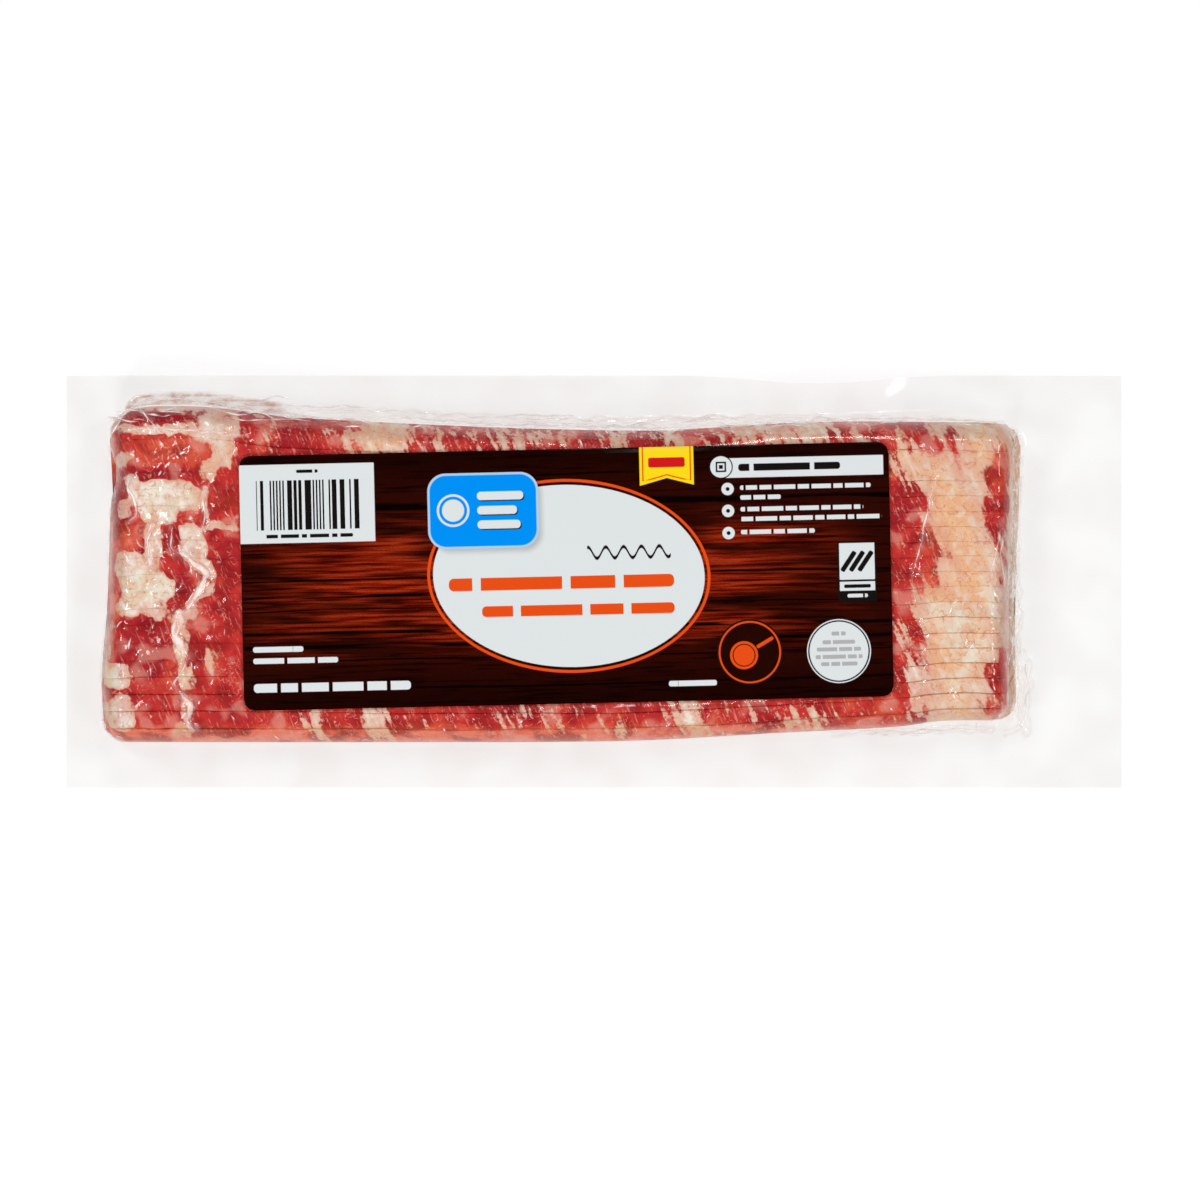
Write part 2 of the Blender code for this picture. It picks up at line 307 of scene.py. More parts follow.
def slice_top(number, x, y, down):
    """The height of a slice's upper face, this far down from its upper edge."""
    shown = SHOWN * strip_width(number, x)
    face = smooth_face(x, y)
    lift = STEP_HEIGHT * step_left(x, y) * (1 - SMOOTHED_STEP * face) * np.clip(1 - down / shown, 0, 1)
    lumps = wander(x, y, LUMP_SIZE, 620) + 0.5 * wander(x, y, SMALL_LUMP_SIZE, 621)
    lump = LUMP * (FLAT_LUMP + (1 - FLAT_LUMP) * face * (x < 0)) * step_left(x, y) * lumps
    angle = LEAN_ANGLES[min(number, len(LEAN_ANGLES) - 1)]
    fall = np.clip(down - shown, 0, None) * math.tan(math.radians(angle)) / (BLOCK_HEIGHT - FLOOR_GAP)
    full = smooth_top(x, y) + lift + lump - FILM_GAP - FLOOR_GAP
    return FLOOR_GAP + full * np.clip(1 - fall, 0, 1)


def block_place(along, across):
    """A place on the block's plan, from its share of the length and of the width."""
    x = 0 * along * across
    for _ in range(4):
        near, far = side_walls(x)
        y = near + (far - near) * across
        left, right = end_walls(y, near, far)
        x = left + (right - left) * along
    return x, y


def column_shares():
    """Places along a slice, closer together where it rounds over and where it shows past the label."""
    places = list(END_STEPS)
    while places[-1] < SLICE_LENGTH - END_STEPS[-1] - 0.5 * FINE_COLUMN:
        fine = places[-1] < FINE_ENDS[0] or places[-1] > SLICE_LENGTH - FINE_ENDS[1]
        places.append(places[-1] + (FINE_COLUMN if fine else COARSE_COLUMN))
    places = places[:-1] + [SLICE_LENGTH - step for step in reversed(END_STEPS)]
    return np.array(places) / SLICE_LENGTH


def ramp(value, start, width):
    """Rises evenly from 0 at the start to 1 a width further on."""
    return np.clip((value - start) / width, 0, 1)


def smooth_face(x, y):
    """How far the film has smoothed the slices' edges away, at the left end and at part of the right one."""
    left = ramp(-x, 104, 8) * ramp(y, -31, 4)
    right = ramp(x, 97, 6) * ramp(y, -11, 6)
    return np.maximum(left, right)


# Where the belly's lean and fat lie on the block: the middle, half length, half width and turn of each patch,
# then how lean it is, from about -1 to 1, and its tone: orange at 0, plain at 0.5, mauve or pink at 1.
FAT_SIDE_FROM = 101.5
LEFT_END_PATCHES = (
    (-130.0, 54.0, 24.0, 2.6, 0, -0.6, 0.9),
    (-129.0, 50.6, 12.0, 2.2, 0, 0.5, 1.0),
    (-131.0, 46.4, 20.0, 1.9, -3, -1.0, 0.75),
    (-114.6, 40.6, 5.0, 6.8, 0, -1.0, 0.45),
    (-129.2, 39.4, 12.2, 5.1, 2, 1.0, 0.2),
    (-144.4, 37.4, 4.0, 2.8, 0, -0.7, 0.9),
    (-133.0, 32.8, 12.6, 2.4, 0, 1.0, 1.1),
    (-115.4, 34.2, 4.6, 3.4, 20, -0.5, 0.4),
    (-131.6, 25.6, 10.4, 6.0, 0, -1.2, 0.65),
    (-134.0, 20.6, 5.0, 4.4, 0, -1.2, 0.6),
    (-147.6, 28.0, 2.0, 5.4, 0, 0.8, 0.9),
    (-143.6, 22.6, 3.2, 3.0, 0, -0.3, 1.0),
    (-112.6, 26.4, 4.6, 7.6, 0, 1.0, 0.45),
    (-114.6, 17.0, 6.6, 1.8, 4, -0.5, 0.8),
    (-142.8, 14.4, 4.8, 5.6, -14, 1.1, 0.1),
    (-134.0, 11.0, 2.0, 7.0, 0, -0.9, 0.9),
    (-129.8, 10.2, 2.0, 6.2, 0, 1.0, 0.55),
    (-137.6, 8.6, 1.4, 3.8, 0, 0.9, 1.1),
    (-123.6, 13.0, 4.2, 6.2, 0, -0.9, 0.7),
    (-127.0, 15.0, 1.0, 3.4, 0, 0.7, 1.1),
    (-113.6, 8.6, 5.0, 6.6, 0, 0.8, 0.8),
    (-141.6, 4.8, 6.6, 4.4, 0, -0.9, 0.75),
    (-137.0, -2.6, 8.8, 5.6, -6, -1.2, 0.5),
    (-126.0, -1.2, 2.6, 3.0, 0, 0.7, 1.1),
    (-146.8, -7.4, 2.8, 3.6, 0, 0.9, 0.05),
    (-142.0, -8.6, 3.6, 2.6, 0, -1.0, 0.6),
    (-134.6, -9.2, 4.6, 2.2, 0, -0.3, 0.9),
    (-138.6, -21.0, 8.6, 10.6, 8, 1.1, 0.85),
    (-150.0, -18.6, 1.6, 8.0, 0, -0.3, 0.95),
    (-146.6, -29.2, 5.4, 3.9, -8, -1.2, 0.85),
    (-146.0, -40.6, 6.2, 5.4, -16, -0.75, 0.95),
    (-116.6, -24.6, 2.6, 5.6, 20, -0.15, 0.05),
    (-113.6, -9.0, 5.4, 7.0, 0, 0.85, 0.6),
    (-125.8, -46.0, 3.4, 2.6, 0, -0.3, 0.2),
)
FAR_EDGE_PATCHES = (
    (-115.0, 46.4, 7.0, 5.0, 0, -0.9, 0.75),
    (-106.6, 41.2, 3.0, 2.4, 0, 0.9, 0.5),
    (-99.0, 45.6, 2.0, 4.6, 20, -0.8, 0.15),
    (-91.6, 43.6, 6.0, 5.6, 0, 0.7, 0.95),
    (-79.0, 44.0, 6.4, 6.0, 0, 0.35, 0.5),
    (-64.4, 45.0, 10.6, 7.6, 0, -0.75, 0.2),
    (-51.6, 42.4, 2.2, 3.2, 0, 1.0, 0.8),
    (-49.2, 45.0, 1.2, 7.0, 14, -0.7, 1.0),
    (-22.0, 43.4, 27.0, 8.0, 0, 0.24, 0.6),
    (-27.0, 44.6, 5.0, 4.0, 0, -0.15, 0.8),
    (7.6, 44.0, 2.4, 6.0, 20, -0.7, 0.8),
    (17.0, 44.0, 6.0, 6.0, 0, 0.4, 0.8),
    (26.0, 44.0, 2.6, 6.0, 22, -1.0, 0.5),
    (33.0, 44.0, 3.6, 6.0, 10, 0.6, 0.5),
    (49.0, 46.4, 12.0, 6.4, 0, -0.25, 0.45),
    (67.0, 46.6, 6.4, 6.4, 0, -0.85, 0.4),
    (82.0, 45.4, 8.6, 7.0, 0, 0.22, 0.5),
)
NEAR_EDGE_PATCHES = (
    (-85.6, -42.4, 2.1, 2.8, 0, -0.7, 0.3),
    (-84.4, -47.6, 2.0, 2.2, 0, -0.5, 0.15),
    (-66.4, -43.8, 3.2, 6.4, 10, -1.0, 0.55),
    (-50.0, -44.0, 10.0, 5.6, 0, 0.42, 0.4),
    (-21.0, -41.8, 8.6, 3.4, -8, -0.1, 1.0),
    (4.0, -44.6, 17.0, 5.4, 0, 0.3, 0.4),
    (29.6, -42.6, 4.2, 7.6, 28, -1.0, 0.55),
    (42.6, -43.6, 7.0, 6.0, 24, 0.12, 0.15),
    (52.6, -40.4, 5.0, 2.6, -8, 0.3, 1.0),
    (65.4, -42.0, 8.0, 4.4, 8, -0.5, 0.45),
    (84.6, -37.4, 10.8, 2.4, 2, 0.9, 0.35),
    (89.6, -42.6, 8.4, 2.6, 2, 0.35, 0.15),
)
RIGHT_END_PATCHES = (
    (96.6, 36.0, 6.4, 7.0, 0, -0.6, 0.15),
    (103.6, 42.4, 3.2, 3.0, 0, 0.6, 0.9),
    (109.6, 45.0, 2.2, 4.6, 20, 0.5, 0.5),
    (112.8, 35.0, 1.4, 5.4, 24, 0.15, 0.8),
    (95.4, 20.6, 5.2, 8.6, 0, 0.5, 1.0),
    (95.4, 2.6, 4.8, 12.0, 0, 0.55, 0.6),
    (105.8, 11.4, 3.4, 6.6, 24, 0.25, 0.0),
    (102.8, 0.8, 4.6, 3.6, -30, 0.1, 0.0),
    (96.6, -20.0, 5.0, 9.0, 0, -0.05, 0.6),
    (99.0, -32.0, 3.0, 6.4, 0, -0.8, 0.95),
    (92.6, -31.0, 3.0, 7.0, 0, 0.5, 0.3),
    (124.6, 29.0, 3.6, 13.6, -3, 1.0, 0.25),
    (121.6, 20.6, 1.4, 2.6, 0, 0.8, 1.2),
    (126.2, 5.0, 2.6, 10.6, 0, 0.2, 0.8),
    (126.8, -12.0, 1.6, 8.0, 0, -0.1, 0.9),
    (125.0, -29.6, 4.2, 8.0, -14, 0.9, 0.4),
    (124.8, -41.6, 5.0, 2.8, 0, 0.4, 0.15),
)
PATCHES = LEFT_END_PATCHES + FAR_EDGE_PATCHES + NEAR_EDGE_PATCHES + RIGHT_END_PATCHES
SOFT_EDGE, FIRM_EDGE = 1.5, 0.45
FAR_AWAY = 99.0
RIBBONS = (  # half width, leanness, tone, then the places it runs through
    (1.9, -1.1, 0.85, (-124.9, 9.6), (-121.0, 5.6), (-117.6, 2.3)),
    (2.0, -0.8, 1.05, (-119.6, -1.6), (-122.6, -6.9), (-126.0, -11.0)),
    (2.1, -1.0, 0.95, (-127.6, -12.0), (-128.0, -16.5), (-126.4, -20.8)),
    (1.8, -0.9, 0.35, (-126.4, -21.8), (-125.6, -26.7), (-124.2, -31.4)),
    (1.7, -0.35, 1.0, (-125.4, -35.4), (-124.2, -40.4), (-123.4, -44.4)),
    (0.9, -0.8, 1.0, (-119.0, 28.6), (-119.9, 24.6), (-119.0, 20.1)),
    (1.2, -1.0, 0.85, (-142.4, 32.0), (-141.8, 28.0), (-140.2, 24.4)),
    (1.2, -0.9, 0.95, (-136.4, 17.0), (-136.6, 12.0), (-136.0, 6.8)),
)


def route_distance(x, y, route):
    """How far places are from a route of straight runs."""
    away = np.full(np.shape(x), FAR_AWAY)
    for (ax, ay), (bx, by) in zip(route, route[1:]):
        t = ((x - ax) * (bx - ax) + (y - ay) * (by - ay)) / ((bx - ax) ** 2 + (by - ay) ** 2)
        t = np.clip(t, 0, 1)
        away = np.minimum(away, np.hypot(x - ax - t * (bx - ax), y - ay - t * (by - ay)))
    return away


def inside_share(outside):
    """Falls softly from 1 to 0 as a place passes from inside a patch to outside it."""
    return 1 / (1 + np.exp(np.clip(outside, -30, 30)))


def lean_and_tone(x, y):
    """How lean the belly is at a place, its tone, and the painted shade in the folds beside its ribbons."""
    side_shade = 0 * x
    ragged_x = x + 1.1 * wander(x, y, 6, 1) + 0.6 * wander(x, y, 2.6, 2)
    ragged_y = y + 0.9 * wander(x, y, 6, 3) + 0.5 * wander(x, y, 2.6, 4)
    fat_side = inside_share((FAT_SIDE_FROM + 2.4 * wander(0 * x, y, 9, 9) - ragged_x) / 1.3)
    lean = 0.75 - 1.75 * fat_side
    tone = 0.5 - 0.28 * fat_side + 0.2 * wander(x, y, 14, 7)
    for number, (middle_x, middle_y, length, width, turn, leanness, patch_tone) in enumerate(PATCHES):
        c, s = math.cos(math.radians(turn)), math.sin(math.radians(turn))
        dx, dy = ragged_x - middle_x, ragged_y - middle_y
        reach = np.hypot((dx * c + dy * s) / length, (dy * c - dx * s) / width)
        edge = FIRM_EDGE if number < len(LEFT_END_PATCHES) else SOFT_EDGE
        outside = (reach - 1) * min(length, width) / edge
        share = inside_share(outside)
        lean += (leanness - lean) * share
        tone += (patch_tone - tone) * share
    for half_width, leanness, ribbon_tone, *route in RIBBONS:
        outside = route_distance(ragged_x, ragged_y, route) - half_width
        share = inside_share(outside / FIRM_EDGE)
        lean += (leanness - lean) * share
        tone += (ribbon_tone - tone) * share
        # Painted shade in a thin band just outside each ribbon.
        side_shade = np.maximum(side_shade, np.exp(-(((outside - 0.6) / 0.4) ** 2)))
    return lean, tone, side_shade


def put(tree, kind, inputs=None, **settings):
    """Adds a node, sets it up and feeds its inputs with values or with other nodes' outputs."""
    made = tree.nodes.new("ShaderNode" + kind)
    for key, value in settings.items():
        setattr(made, key, value)
    for key, value in (inputs or {}).items():
        if isinstance(value, bpy.types.NodeSocket):
            tree.links.new(value, made.inputs[key])
        else:
            made.inputs[key].default_value = value
    return made


def work_out(tree, operation, *values):
    """A sum on values or outputs."""
    return put(tree, "Math", dict(enumerate(values)), operation=operation).outputs[0]


def rise(tree, value, low, high, start=0.0, end=1.0):
    """Turns a value smoothly from start to end as it goes from low to high."""
    fed = {"Value": value, "From Min": low, "From Max": high, "To Min": start, "To Max": end}
    return put(tree, "MapRange", fed, interpolation_type="SMOOTHSTEP").outputs["Result"]


def over(tree, share, under, ink):
    """Lays one colour over another."""
    return put(tree, "Mix", {0: share, 6: under, 7: ink}, data_type="RGBA").outputs[2]


def spotted(tree, place, scale, detail=2.0, distortion=0.0):
    """Noise with this many spots to a metre."""
    fed = {"Vector": place, "Scale": scale, "Detail": detail, "Distortion": distortion}
    return put(tree, "TexNoise", fed).outputs["Fac"]


def attribute(tree, name):
    """A value that the mesh carries."""
    return put(tree, "Attribute", attribute_name=name).outputs["Fac"]


def start_group(name, inputs, outputs):
    """A new node group with these sockets."""
    group = bpy.data.node_groups.new(name, "ShaderNodeTree")
    for text, kind, value in inputs:
        made = group.interface.new_socket(text, in_out="INPUT", socket_type="NodeSocket" + kind)
        if value is not None:
            made.default_value = value
    for text, kind in outputs:
        group.interface.new_socket(text, in_out="OUTPUT", socket_type="NodeSocket" + kind)
    return group, group.nodes.new("NodeGroupInput").outputs, group.nodes.new("NodeGroupOutput").inputs


def place_group(tree, group, inputs):
    """Puts a group in a material and gives its outputs."""
    return put(tree, "Group", inputs, node_tree=group).outputs


LEAN_SALMON = (0.84, 0.2, 0.12, 1)
LEAN_ORANGE = (0.65, 0.085, 0.042, 1)
LEAN_RED = (0.55, 0.03, 0.026, 1)
LEAN_MAUVE = (0.36, 0.014, 0.022, 1)
LEAN_PALE = (0.85, 0.38, 0.3, 1)
LEAN_DARK = (0.24, 0.004, 0.008, 1)
FAT_PEACH = (0.84, 0.475, 0.25, 1)
FAT_CREAM = (0.78, 0.66, 0.51, 1)
FAT_PINK = (0.74, 0.53, 0.5, 1)
FAT_PALE = (0.9, 0.85, 0.76, 1)
FAT_BLUSH = (0.74, 0.36, 0.25, 1)
FAT_FISSURE = (0.62, 0.23, 0.15, 1)
# Painted shade in the creases between slices and beside the ribbons: dark red on lean, orange on fat.
CREASE_SHADE_RED = (0.3, 0.02, 0.015, 1)
CREASE_SHADE_ORANGE = (0.62, 0.24, 0.1, 1)
STREAK_SLANT = math.radians(24)


def three_tones(tree, tone, low, middle, high):
    """A colour between three, by the tone."""
    first = over(tree, rise(tree, tone, 0.0, 0.5), low, middle)
    return over(tree, rise(tree, tone, 0.5, 1.0), first, high)


def threads(tree, noise, width):
    """Thin lines where a noise passes its middle."""
    away = work_out(tree, "ABSOLUTE", work_out(tree, "SUBTRACT", noise, 0.5))
    return rise(tree, away, width, 0.0)


def bacon_material():
    """Cured pork: red lean with paler grain, cream fat in lobes, and a moist skin, with painted shade in the
    creases between slices.
    """
    material = bpy.data.materials.new("cured_bacon")
    material.use_nodes = True
    tree = material.node_tree
    shader = tree.nodes["Principled BSDF"]
    place = put(tree, "TexCoord").outputs["Object"]
    turned = put(tree, "VectorRotate", {"Vector": place, "Angle": -STREAK_SLANT}, rotation_type="Z_AXIS")
    slanted = put(tree, "Mapping", {"Vector": turned.outputs[0], "Scale": (1.0, 0.16, 0.3)}).outputs[0]
    swirl = put(tree, "TexNoise", {"Vector": place, "Scale": 260, "Detail": 1.0}).outputs["Color"]
    drift = {0: swirl, 1: (0.004, 0.004, 0.004), 2: place}
    swirled = put(tree, "VectorMath", drift, operation="MULTIPLY_ADD")
    streaks = spotted(tree, slanted, 480, 3)
    ragged = spotted(tree, place, 1000, 3)
    fibres = spotted(tree, slanted, 1500, 2)
    blotches = spotted(tree, swirled.outputs[0], 300, 3)
    cells = spotted(tree, swirled.outputs[0], 400, 2)
    clouds = spotted(tree, place, 120, 1)

    lean = attribute(tree, "lean")
    tone = work_out(tree, "MULTIPLY_ADD", blotches, 1.1, -0.55)
    tone = work_out(tree, "ADD", attribute(tree, "tone"), tone)
    leaning = work_out(tree, "MULTIPLY_ADD", streaks, 3.4, -1.7)
    leaning = work_out(tree, "ADD", leaning, work_out(tree, "MULTIPLY_ADD", ragged, 1.2, -0.6))
    leaning = work_out(tree, "MULTIPLY_ADD", leaning, attribute(tree, "torn"), lean)
    is_lean = rise(tree, leaning, -0.2, 0.16)

    red = three_tones(tree, tone, LEAN_ORANGE, LEAN_RED, LEAN_MAUVE)
    red = over(tree, rise(tree, tone, 0.05, -0.4), red, LEAN_SALMON)
    red = over(tree, rise(tree, clouds, 0.52, 0.36, 0.0, 0.6), red, LEAN_DARK)
    red = over(tree, rise(tree, clouds, 0.56, 0.68, 0.0, 0.4), red, LEAN_PALE)
    red = over(tree, rise(tree, fibres, 0.58, 0.74, 0.0, 0.42), red, LEAN_PALE)
    threads_show = rise(tree, streaks, 0.5, 0.62, 0.0, 0.7)
    pale_threads = work_out(tree, "MULTIPLY", threads(tree, cells, 0.022), threads_show)
    red = over(tree, pale_threads, red, LEAN_PALE)
    cream = three_tones(tree, tone, FAT_PEACH, FAT_CREAM, FAT_PINK)
    lobed = rise(tree, attribute(tree, "tone"), 0.2, 0.6, 0.35, 1.0)
    blushed = work_out(tree, "MULTIPLY", rise(tree, clouds, 0.48, 0.66, 0.0, 0.6), lobed)
    cream = over(tree, blushed, cream, FAT_BLUSH)
    paler = work_out(tree, "MAXIMUM", rise(tree, blotches, 0.5, 0.66), rise(tree, clouds, 0.5, 0.34))
    paler = work_out(tree, "MULTIPLY", paler, work_out(tree, "MULTIPLY", lobed, 0.75))
    cream = over(tree, paler, cream, FAT_PALE)
    cream = over(tree, rise(tree, leaning, -1.2, -0.15, 0.0, 0.7), cream, FAT_BLUSH)
    fissures_show = rise(tree, blotches, 0.56, 0.44, 0.0, 0.75)
    fissures = work_out(tree, "MULTIPLY", threads(tree, cells, 0.035), fissures_show)
    cream = over(tree, fissures, cream, FAT_FISSURE)
    colour = over(tree, is_lean, cream, red)
    # Painted shade along the creases.
    crease_shade = work_out(tree, "MULTIPLY", attribute(tree, "crease_shade"), rise(tree, ragged, 0.3, 0.62, 0.1, 0.8))
    colour = over(tree, crease_shade, colour, over(tree, is_lean, CREASE_SHADE_ORANGE, CREASE_SHADE_RED))
    tree.links.new(colour, shader.inputs["Base Color"])
    tree.links.new(rise(tree, ragged, 0.3, 0.7, 0.3, 0.45), shader.inputs["Roughness"])
    bump = put(tree, "Bump", {"Strength": 0.5, "Distance": 0.0006, "Height": spotted(tree, slanted, 1300, 1)})
    tree.links.new(bump.outputs["Normal"], shader.inputs["Normal"])
    shader.inputs["Specular IOR Level"].default_value = 0.07
    return material


def sheet_faces(wide, deep, first, turned):
    """Four-sided faces over a grid of points, counted from this one."""
    i, j = np.meshgrid(np.arange(wide - 1), np.arange(deep - 1), indexing="ij")
    corner = (first + i * deep + j).ravel()
    faces = np.stack([corner, corner + deep, corner + deep + 1, corner + 1], axis=1)
    return faces[:, ::-1] if turned else faces


def mesh_piece(name, points, faces, material, values, flat_faces=0):
    """One piece of the pack from its points in mm, with the values that its material reads."""
    data = bpy.data.meshes.new(name)
    data.from_pydata([tuple(p) for p in np.asarray(points) * MM], [], [tuple(f) for f in faces])
    for key, numbers in values.items():
        layer = data.attributes.new(key, "FLOAT", "POINT")
        layer.data.foreach_set("value", np.asarray(numbers, np.float32))
    data.materials.append(material)
    smooth = np.arange(len(faces)) < len(faces) - flat_faces
    data.polygons.foreach_set("use_smooth", smooth)
    made = bpy.data.objects.new(name, data)
    bpy.context.scene.collection.objects.link(made)
    return made


def slice_profile(number):
    """How far down from its upper edge each row of a slice's points lies."""
    strip = SLICE_STRIPS[number] * BLOCK_WIDTH / sum(SLICE_STRIPS)
    shown = [share * strip for share in STRIP_PLACES]
    hidden = [strip + step for step in HIDDEN_PLACES]
    return np.array(shown + hidden)


def end_flare(height):
    """How far the slices' ends spread below the block's shoulders, out to the drawn-in film."""
    share = np.clip((height + 0.5 - FILM_FOOT) / (WALL_HEIGHT - FILM_FOOT), 0, 1)
    return np.clip(FLARE_REACH * (1 - share ** (1 / SKIRT_HOLLOW)), 0, MOST_FLARE)


def slab_faces(wide, rows):
    """The faces of a closed slab of rings: its skin, then a cap on each end, and how many faces a cap has."""
    i, j = np.meshgrid(np.arange(wide - 1), np.arange(rows), indexing="ij")
    here, beside = (i * rows + j).ravel(), (i * rows + (j + 1) % rows).ravel()
    faces = np.stack([here, here + rows, beside + rows, beside], axis=1).tolist()
    for first, turned in ((0, False), ((wide - 1) * rows, True)):
        loop = [(first + n, first + rows - n) for n in range(1, rows // 2 + 1) if n < rows - n]
        caps = [(first, *loop[0])]
        caps += [(a, c, d, b) for (a, b), (c, d) in zip(loop, loop[1:])]
        if rows % 2 == 0:
            caps.append((loop[-1][0], first + rows // 2, loop[-1][1]))
        faces += [face[::-1] if turned else face for face in caps]
    return faces, len(caps)


def bacon_slice(number, material):
    """One slice, from its rounded upper edge down to its lower one, closed all round."""
    draw = random.Random(300 + number)
    along = column_shares()[:, None]
    down = slice_profile(number)[None, :]
    start = crest_share(number, block_place(along, 0.5 + 0 * along)[0])
    across = np.clip(start + down / BLOCK_WIDTH, WALL_SHARE, 1 - WALL_SHARE)
    x, y = block_place(along, across)
    x += draw.uniform(-1, 1) * END_STAGGER * np.abs(2 * along - 1) ** 8
    x -= END_TUCK * (2 * along - 1) ** 9
    down = (across - start) * BLOCK_WIDTH
    upper = slice_top(number, x, y, down)
    if number:
        below = start - crest_share(number - 1, x)
        lower = slice_top(number - 1, x, y, down + below * BLOCK_WIDTH) + SLICE_GAP
    else:
        lower = 0 * upper + FLOOR_GAP
    lower = np.maximum(np.minimum(lower, upper - THINNEST), LOWEST_UNDERSIDE)
    upper = np.maximum(upper, LOWEST_TOP)

    wide, deep = x.shape
    noses = []
    for out, share in NOSE:
        height = lower[:, 0] + (upper[:, 0] - lower[:, 0]) * share
        noses.append(np.stack([x[:, 0], y[:, 0] + (out if number else 0.3 * out), height], axis=1))
    ring = noses + [np.stack([x[:, j], y[:, j], upper[:, j]], axis=1) for j in range(1, deep)]
    ring += [np.stack([x[:, j], y[:, j], lower[:, j]], axis=1) for j in range(deep - 1, 0, -1)]
    points = np.stack(ring, axis=1)
    rows = points.shape[1]
    flat = points.reshape(-1, 3)
    faces, cap_faces = slab_faces(wide, rows)

    ends = np.repeat(along[:, 0], rows)
    spread = ramp(ends, 1 - FLARED_END, FLARED_END) - LEFT_FLARE * ramp(-ends, -FLARED_END, FLARED_END)
    flat[:, 0] += end_flare(flat[:, 2]) * spread
    shift = draw.uniform(-1.2, 1.2) * (1 - 0.85 * smooth_face(flat[:, 0], flat[:, 1]))
    lean, tone, side_shade = lean_and_tone(flat[:, 0] + shift, flat[:, 1])
    # Painted shade along each slice's edges where it meets the one below, weaker where the film smooths the
    # steps and at the slices' ends.
    crease_shade = np.zeros((wide, rows))
    if number:
        crease_shade[:, 0], crease_shade[:, 1], crease_shade[:, -1] = 1.0, 0.6, 1.0
    face = smooth_face(flat[:, 0], flat[:, 1])
    crease_shade = crease_shade.ravel() * (1 - np.where(flat[:, 0] > 0, 0.8, 0.85) * face)
    crease_shade = np.where(np.abs(2 * ends - 1) > 1 - FLARED_END, 0.15 * crease_shade, crease_shade)
    calm = 0.45 * ramp(-flat[:, 0], 102, 6) + 0.5 * ramp(flat[:, 0], 96, 6)
    # Painted light: the near and the left edge are coloured lighter and more orange where their shoulders
    # slope away from the lamps.
    lit_rim = np.maximum(ramp(-flat[:, 1], 43, 3), ramp(-flat[:, 0], 145.5, 4))
    tone += draw.uniform(-0.08, 0.08) - RIM_PAINTED_LIGHT * lit_rim
    # The slices' right ends are coloured as pale fat: partly their own fat, partly painted light on their
    # shaded end caps.
    lean += (-1.3 - lean) * 0.6 * ramp(flat[:, 0], 127.5, 1.5)
    values = {"lean": lean, "tone": tone, "crease_shade": np.maximum(crease_shade, 0.9 * side_shade), "torn": 1 - calm}
    made = mesh_piece(f"bacon_slice_{number + 1:02d}", flat, faces, material, values, 2 * cap_faces)
    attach(made, "root")
    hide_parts("pouch")


meat = bacon_material()
for slice_number in range(len(SLICE_STRIPS)):
    bacon_slice(slice_number, meat)


# The pouch is two webs of clear film, the upper one shrunk onto the slices by the vacuum and welded to the
# flat lower one all round. It creases where it is drawn in at the ends, and its far margin has curled.
POUCH_LENGTH, POUCH_WIDTH = 330.0, 129.0
MARGIN_WAVE = 0.25
WELD_GAP = 0.3
CURL_CENTRE, CURL_HALF_LENGTH, CURL_START = 69.0, 42.0, 50.0
CURL_RISE, CURL_DRAW_IN = 6.5, 2.8
DRAWN_FROM = 40.0
SKIRT_NEAR, SKIRT_FAR, SKIRT_LEFT, SKIRT_RIGHT = 2.2, 4.6, 3.0, 6.0
FINE_CELL, COARSE_CELL = 0.55, 0.95
FINE_ALONG = ((-158, -103), (86, 142))
FINE_ACROSS = ((38, 59), (-53, -37))
LOWER_CELL = 3.0
BRIDGE = 0.75
OVER_SLICES, OVER_SHOULDER, OVER_TABLE = 0.2, 0.4, 0.1  # how far the film stands over each
FOLD_SEARCH = 5.0
SKIRT_SHARPNESS = 0.5  # no skirt is steeper than this reach gives
